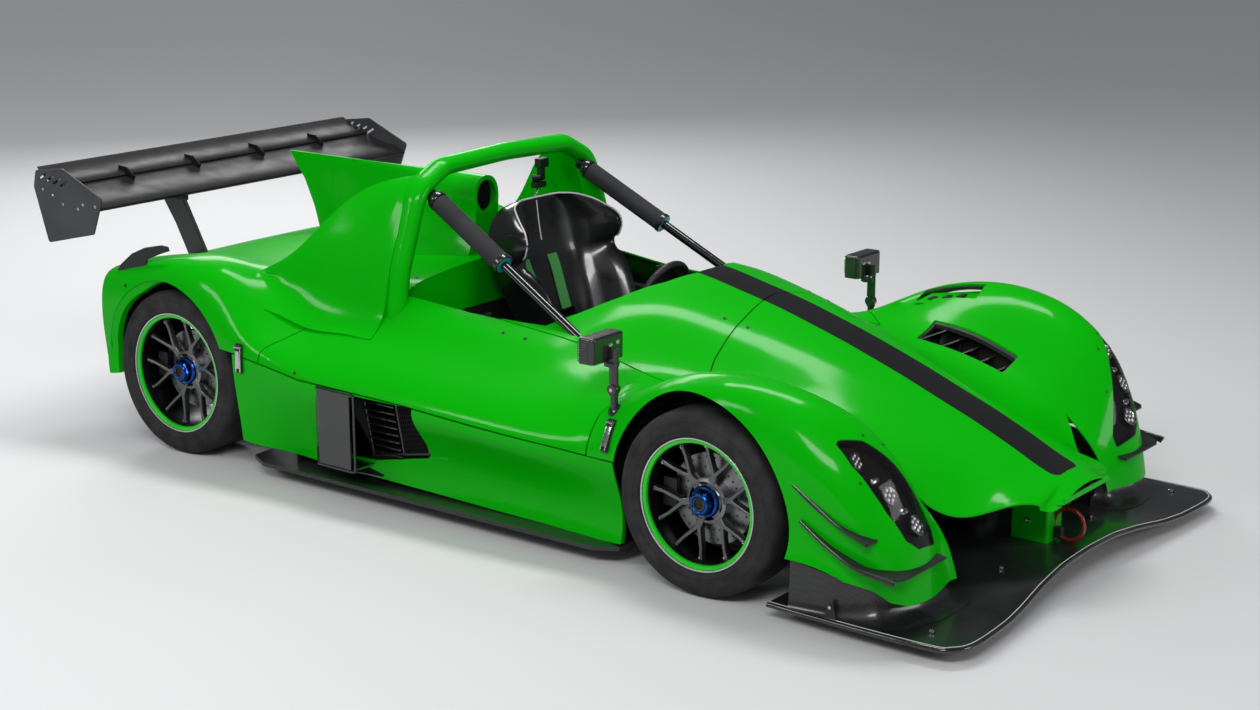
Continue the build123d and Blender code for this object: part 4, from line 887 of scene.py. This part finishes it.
def seat_shell():
    """A bucket with hip bolsters, shoulder wings and a piped head surround."""
    line = smooth_points(SEAT_LINE, 4)
    across = [(-u, h) for u, h in SEAT_ACROSS] + [(0, 0)] + list(reversed(SEAT_ACROSS))
    bm, trim = meshes(2)
    rings, left, right, seam, top = [], [], [], [], []
    for k, station in enumerate(line):
        middle, inward = seat_place(line, k)
        half, bolster = station.z, station.w
        front = [middle + Vector((0, u * half, 0)) + h * bolster * inward for u, h in across]
        back = [middle + Vector((0, u * half, 0)) - drop * inward for u, drop in SEAT_BACK]
        rings.append([bm.verts.new(p) for p in front + back])
        if station.y > 0.7:
            left.append(middle + Vector((0, 0.93 * half, 0)) + (bolster + 0.002) * inward)
            right.append(middle + Vector((0, -0.93 * half, 0)) + (bolster + 0.002) * inward)
        if 0.745 < station.y < 0.9:
            seam.append(middle + 0.002 * inward)
        top = front                      # the last station's section
    skin(bm, rings, closed=True, caps=True)
    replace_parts(finish_mesh("seat_shell", bm, "seat", smooth=50), "driver_seat")
    lift = Vector((0, 0, 0.002))
    sweep_tube(trim, right + [p + lift for p in top[3:-3]] + left[::-1], 0.0032, 6)
    sweep_tube(trim, seam, 0.0022, 6)
    finish_mesh("seat_piping", trim, "piping", smooth=60)


def ribbon(bm, points, width, thickness, side=(0, 1, 0)):
    """A flat strap through points."""
    side, rings = Vector(side).normalized(), []
    for k, point in enumerate(points):
        face = side.cross(heading(points, k)).normalized()
        rings.append([bm.verts.new(point + a * width / 2 * side + b * thickness / 2 * face)
                      for a, b in ((-1, -1), (1, -1), (1, 1), (-1, 1))])
    skin(bm, rings, closed=True, caps=True)


def belts():
    """Shoulder and lap straps that meet in a round buckle."""
    bm, metal_parts = meshes(2)
    buckle = Vector((-0.03, 0.12, 0.262))
    for y, foot in ((0.035, 0.095), (0.19, 0.145)):
        route = smooth_points([(-0.326, y, 0.7), (-0.308, y, 0.66),
                               (-0.255, y + 0.3 * (foot - y), 0.54),
                               (-0.205, y + 0.5 * (foot - y), 0.425),
                               (-0.135, y + 0.8 * (foot - y), 0.318),
                               (buckle.x, foot, buckle.z)], 5)
        ribbon(bm, route, 0.052, 0.003)
        cuboid(metal_parts, route[12], (0.012, 0.062, 0.04))
    for side in (-1, 1):
        route = smooth_points([(-0.12, SEAT_MIDDLE + side * 0.15, 0.3),
                               (-0.075, 0.135 + side * 0.09, 0.262),
                               (buckle.x, buckle.y + side * 0.02, buckle.z)], 5)
        ribbon(bm, route, 0.048, 0.003, side=(1, 0, 0.3))
    lathe(metal_parts, [(0.034, -0.004), (0.034, 0.012), (0.028, 0.017), (0.01, 0.018),
                        (TIP, 0.014)], at(buckle), 24)
    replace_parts(finish_mesh("belt_straps", bm, "web", smooth=40), "harness")
    finish_mesh("belt_fittings", metal_parts, "steel", bevel=0.0015)


STAY_TOP, SLEEVE_END = (-0.338, 0.412, 0.985), (-0.012, 0.449, 0.809)


def stay_fittings(side):
    """The clevis and bolt at the top of a stay, and its sleeve's caps and coloured ring."""
    top, end = [Vector(p) for p in flip(side, STAY_TOP, SLEEVE_END)]
    along = (end - top).normalized()
    dark, ring, bolts = meshes(3)
    low, high = frame_at(end, along), frame_at(top, -along)
    lathe(ring, [(0.0165, 0.0005), (0.03, 0.0005), (0.03, 0.006), (0.0165, 0.006)], low, 32)
    lathe(dark, [(0.0345, -0.012), (0.0365, -0.01), (0.0365, 0.004), (0.0325, 0.007),
                 (0.03, 0.0065)], low, 36)
    lathe(dark, [(0.0345, -0.016), (0.0362, -0.012), (0.0362, 0.002), (0.0315, 0.01),
                 (0.024, 0.013), (TIP, 0.014)], high, 36)
    for y in (0.011, -0.011):
        cuboid(dark, (0, y, 0.02), (0.034, 0.007, 0.044), high)
    lathe(bolts, [(TIP, -0.021), (0.0085, -0.021), (0.0095, -0.016), (0.0055, -0.015),
                  (0.0055, 0.015), (0.0095, 0.016), (0.0085, 0.021), (TIP, 0.021)],
          high @ at((0, 0, 0.026)) @ ONTO_Y, 6)
    finish_mesh(f"sleeve_caps_{word(side)}", dark, "gloss_black", bevel=0.001)
    finish_mesh(f"sleeve_ring_{word(side)}", ring, "teal")
    finish_mesh(f"stay_bolt_{word(side)}", bolts, "steel")


def mirror_details():
    """Ribs on the housings' outer ends, two screws ahead, glass behind and a clamped foot."""
    ribs, screws, glass_face, feet = meshes(4)
    for side in (1, -1):
        for k in range(9):
            cuboid(ribs, (0.64, side * 0.8445, 0.658 + 0.0075 * k), (0.042, 0.003, 0.0042))
        for y, z in ((0.757, 0.698), (0.722, 0.702)):
            m = frame_at((0.679, side * y, z), (1, 0, 0))
            lathe(screws, [(0.0085, -0.001), (0.0085, 0.002), (0.006, 0.0045),
                           (TIP, 0.005)], m, 16)
        slab(glass_face, rounded(0.14, 0.066, 0.012),
             frame_at((0.6168, side * 0.765, 0.69), (-1, 0, 0), (0, 1, 0)), 0.0015)
        m = frame_at((0.692, side * 0.758, 0.56), (0, side, 0))
        lathe(feet, [(TIP, -0.013), (0.017, -0.013), (0.019, -0.01), (0.019, 0.01),
                     (0.017, 0.013), (TIP, 0.013)], m, 28)
        lathe(screws, [(0.0065, 0.012), (0.0065, 0.016), (TIP, 0.0165)], m, 6)
        foot, up = on_top(0.694, side * 0.757, ["front_clam"])
        sweep_tube(feet, [(0.692, side * 0.758, 0.556), foot + Vector((0, 0, 0.004))], 0.0125, 14)
        lathe(feet, [(0.025, -0.003), (0.025, 0.004), (0.019, 0.009), (0.013, 0.011)],
              frame_at(foot, up), 28)
        lathe(feet, [(TIP, 0.0), (0.024, 0.0), (0.026, 0.012), (0.021, 0.024), (TIP, 0.026)],
              frame_at((0.68, side * 0.752, 0.632), (0, 0, 1)), 28)
    finish_mesh("mirror_ribs", ribs, "gloss_black", bevel=0.0008)
    finish_mesh("mirror_screws", screws, "bright")
    finish_mesh("mirror_glass", glass_face, "reflector")
    finish_mesh("mirror_feet", feet, "gloss_black")


def rounded(width, height, radius, steps=5):
    """A rounded rectangle about the origin."""
    points = []
    for cx, cy, begin in ((1, 1, 0), (-1, 1, 90), (-1, -1, 180), (1, -1, 270)):
        for k in range(steps + 1):
            angle = radians(begin + 90 * k / steps)
            points.append((cx * (width / 2 - radius) + radius * cos(angle),
                           cy * (height / 2 - radius) + radius * sin(angle)))
    return points


# ---------------- splitter, planes and ducts
# The blade's top by (y, z), its edge by (x, y), and the skirt's line, section and upper edge.
BLADE_LINE = (
    (0.0, 0.1), (0.18, 0.097), (0.33, 0.082), (0.48, 0.062), (0.6, 0.054), (0.76, 0.053),
    (0.9, 0.053))
BLADE_EDGE = (
    (1.942, 0.0), (1.954, 0.3), (1.984, 0.6), (1.99, 0.8), (1.96, 0.872), (1.9, 0.898),
    (1.65, 0.9), (1.352, 0.886))
SKIRT_LINE = (
    (1.424, 0.877), (1.5, 0.873), (1.562, 0.868), (1.63, 0.852), (1.682, 0.833), (1.712, 0.795),
    (1.729, 0.754), (1.746, 0.705), (1.754, 0.66), (1.755, 0.6), (1.748, 0.543), (1.7, 0.515),
    (1.64, 0.494))
SKIRT_FORM = (
    (0.0, 1.0), (0.03, 0.8), (0.07, 0.6), (0.14, 0.42), (0.26, 0.26), (0.42, 0.13), (0.66, 0.04),
    (1.0, 0.0))
SILL_LINE = (
    (1.2, 0.204), (1.429, 0.201), (1.56, 0.18), (1.68, 0.15), (1.731, 0.121), (1.768, 0.108),
    (2.1, 0.108))


def between(table, place):
    """Linear look-up in a short table."""
    for (a, low), (b, high) in zip(table, table[1:]):
        if place <= b:
            return low + (high - low) * max(0.0, (place - a) / (b - a))
    return table[-1][1]


def splitter_skirts(side):
    """The moulded skirt that falls from the fender's lower edge into the blade."""
    line = smooth_points([(x, y, 0) for x, y in SKIRT_LINE], 4)
    bm = bmesh.new()
    rows = []
    for k, point in enumerate(line):
        along = heading(line, k)
        outward = Vector((along.y, -along.x, 0))
        if outward.y < 0 and point.y > 0.8:
            outward = -outward
        if point.x > 1.7 and outward.x < 0:
            outward = -outward
        reach = 0.075
        if outward.y > 0.2:
            reach = min(reach, (0.893 - point.y) / outward.y)
        row = []
        for share, height in SKIRT_FORM:
            place = point + share * reach * outward
            ground = between(BLADE_LINE, place.y) + 0.0008
            place.z = ground + height * (between(SILL_LINE, point.x) - 0.002 - ground)
            row.append(bm.verts.new((place.x, side * place.y, place.z)))
        rows.append(row)
    skin(bm, rows)
    finish_mesh(f"splitter_skirt_{word(side)}", bm, "weave", smooth=70)


def splitter_lip():
    """The rolled edge round the blade, with a fine pale line above it that is a painted highlight.
    """
    half = [Vector((x, y, 0)) for x, y in BLADE_EDGE]
    whole = [Vector((p.x, -p.y, 0)) for p in reversed(half[1:])] + half
    line = smooth_points(whole, 8)
    # The second tube is a painted highlight: a pale grey line along the lip.
    for name, key, radius, drop, inset in (("splitter_lip", "gloss_black", 0.0085, 0.006, 0.004),
                                           ("splitter_line", "piping", 0.0012, -0.0022, 0.0075)):
        bm = bmesh.new()
        places = []
        for k, p in enumerate(line):
            along = heading(line, k)
            q = p + inset * Vector((-along.y, along.x, 0))
            places.append((q.x, q.y, between(BLADE_LINE, abs(q.y)) - drop))
        sweep_tube(bm, places, radius, 10)
        finish_mesh(name, bm, key, smooth=60)


def splitter_fittings():
    """Bolts and side brackets on the splitter, and the tow ring on its block."""
    bolts, dark, ring = meshes(3)
    for side in (1, -1):
        for x, y in ((1.853, 0.806), (1.8, 0.3), (1.64, 0.47)):
            m = at((x, side * y, between(BLADE_LINE, y)))
            lathe(dark, [(0.0135, 0.0), (0.0135, 0.002), (0.01, 0.003)], m, 24)
            lathe(bolts, [(0.008, 0.002), (0.008, 0.008), (0.0065, 0.0095), (0.003, 0.0095),
                          (0.0028, 0.006), (TIP, 0.006)], m, 12)
        base = Vector((1.573, side * 0.891, 0.058))
        slab(dark, [(-0.02, 0.0), (0.02, 0.0), (0.006, 0.048), (-0.006, 0.048)],
             frame_at(base, (0, side, 0.1), (1, 0, 0)), 0.004)
        lathe(bolts, [(0.0055, 0.0), (0.0055, 0.004), (TIP, 0.005)],
              frame_at(base + Vector((0, side * 0.004, 0.034)), (0, side, 0)), 8)
        m = frame_at((1.463, side * 0.8785, 0.228), (0.12, side, 0.1))
        lathe(dark, [(0.0185, 0.0), (0.0185, 0.003), (0.0125, 0.004)], m, 28)
        lathe(bolts, [(0.0115, 0.001), (0.0115, 0.005), (0.0085, 0.0065), (TIP, 0.0065)], m, 20)
    lathe(bolts, [(0.01, 0.0), (0.01, 0.006), (0.006, 0.007), (TIP, 0.005)],
          frame_at((1.76, -0.051, 0.165), (0, -1, 0)), 6)
    centre = Vector((1.872, 0, 0.16))
    sweep_tube(ring, [centre + 0.05 * Vector((cos(a), 0, sin(a)))
                      for a in [radians(7.5 * k) for k in range(49)]], 0.0062, 12,
               hint=(0, 1, 0), caps=False)
    cuboid(dark, (1.835, 0, 0.128), (0.03, 0.022, 0.036))
    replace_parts(finish_mesh("tow_ring", ring, "red", smooth=60), "tow_loop")
    finish_mesh("front_bolts", bolts, "bright")
    finish_mesh("front_brackets", dark, "black", bevel=0.0008)


def plane_beads():
    """Rolled outer edges on the dive planes, and the lower ones' end plates."""
    bm = bmesh.new()
    for side in (1, -1):
        for route in (((1.44, 0.432), (1.52, 0.384), (1.6, 0.336), (1.688, 0.305)),
                      ((1.468, 0.329), (1.56, 0.27), (1.66, 0.224), (1.778, 0.207))):
            points = smooth_points([(x, side * 0.896, z) for x, z in route], 6)
            sweep_tube(bm, points, 0.006, 8)
        slab(bm, [(0, 0), (0.15, -0.004), (0.144, 0.016)],
             frame_at((1.63, side * 0.896, 0.232), (0, side, 0), (1, 0, -0.2)), 0.003)
    finish_mesh("plane_beads", bm, "gloss_black", smooth=60)


def duct_inside(side):
    """The radiator duct: a black sheet of painted shade inside it, with fins behind and a net
    ahead.
    """
    shade_sheet, fins, net, wall = meshes(4)
    rear, split, front = -0.335, -0.19, -0.07

    def spot(x, z, depth=0.0):
        """A place on the duct's leaning face, or behind it."""
        return Vector((x, side * (0.755 + 0.2 * (z - 0.16) - depth), z))

    # Painted shade: a near-black sheet set back inside the duct's face.
    quad_sheet(shade_sheet, [spot(x, z, 0.012) for x, z in (
        (-0.345, 0.145), (-0.055, 0.215), (-0.055, 0.425), (-0.345, 0.4))])
    for k in range(9):
        z = 0.178 + 0.026 * k
        cuboid(fins, spot(rear + 0.07, z), (0.14, 0.022, 0.004))
    grid_sheet(net, [spot(x, z) for x, z in (
        (split, 0.19), (front, 0.222), (front, 0.42), (split, 0.4))], 14, 12)
    frame_line = [spot(rear, 0.16), spot(front, 0.214), spot(front, 0.424), spot(rear, 0.402)]
    for a, b in zip(frame_line, frame_line[1:] + frame_line[:1]):
        sweep_tube(fins, [a, b], 0.006, 8)
    sweep_tube(fins, [spot(split, 0.185), spot(split, 0.405)], 0.005, 8)
    quad_sheet(wall, [spot(x, z, -0.004) for x, z in (
        (-0.064, 0.205), (0.012, 0.205), (0.012, 0.43), (-0.064, 0.43))])
    for z in (0.13, 0.395):
        sweep_tube(fins, flip(side, (-0.488, 0.87, z), (-0.4, 0.875, z), (-0.312, 0.875, z)),
                   0.005, 8)
    sweep_tube(fins, flip(side, (-0.31, 0.8745, 0.13), (-0.31, 0.8745, 0.395)), 0.0045, 8)
    slab(fins, [(0, -0.03), (0.115, -0.005), (0.105, 0.01), (0, 0.035)],
         frame_at((-0.312, side * 0.845, 0.131), (0, 0, 1), (1, side * 0.08, 0)), 0.003)
    finish_mesh(f"duct_wall_{word(side)}", wall, "paint")
    finish_mesh(f"duct_throat_{word(side)}", shade_sheet, "painted_shade")
    finish_mesh(f"duct_fins_{word(side)}", fins, "gloss_black", smooth=50)
    finish_mesh(f"duct_net_{word(side)}", net, "mesh")


seam_fasteners()
lamp_screws()
latches()
arch_liners()
lamp_details()
seat_shell()
belts()
both_sides(stay_fittings)
mirror_details()
both_sides(splitter_skirts)
splitter_lip()
splitter_fittings()
plane_beads()
both_sides(duct_inside)
vent_trays()
camera_mount()
both_sides(rear_flanges)
wing_fittings()


# ---------------- floor
floor_mesh = bpy.data.meshes.new("floor")
floor_mesh.from_pydata([(-60, -60, 0), (60, -60, 0), (60, 60, 0), (-60, 60, 0)], [], [(0, 1, 2, 3)])
floor = bpy.data.objects.new("floor", floor_mesh)
scene.collection.objects.link(floor)
FLOOR_LIT, FLOOR_NEAR, FLOOR_FAR = (0.55,) * 3, (0.8,) * 3, (0.6,) * 3
ground = Maker("studio_floor", FLOOR_LIT, 0.8)
# The camera sees a paler floor with painted light and shade, which darkens from near the lens to
# behind the car.
ahead = ground.math("ADD", ground.math("MULTIPLY", ground.axis("X"), 0.8),
                    ground.math("MULTIPLY", ground.axis("Y"), 0.6))
shade = ground.mix(ground.ramp(ahead, -3.0, 3.5), (*FLOOR_NEAR, 1), (*FLOOR_FAR, 1))
ground.join(ground.mix(ground.node("LightPath", {}, "Is Camera Ray"), (*FLOOR_LIT, 1), shade),
            "Base Color")
floor.data.materials.append(ground.mat)
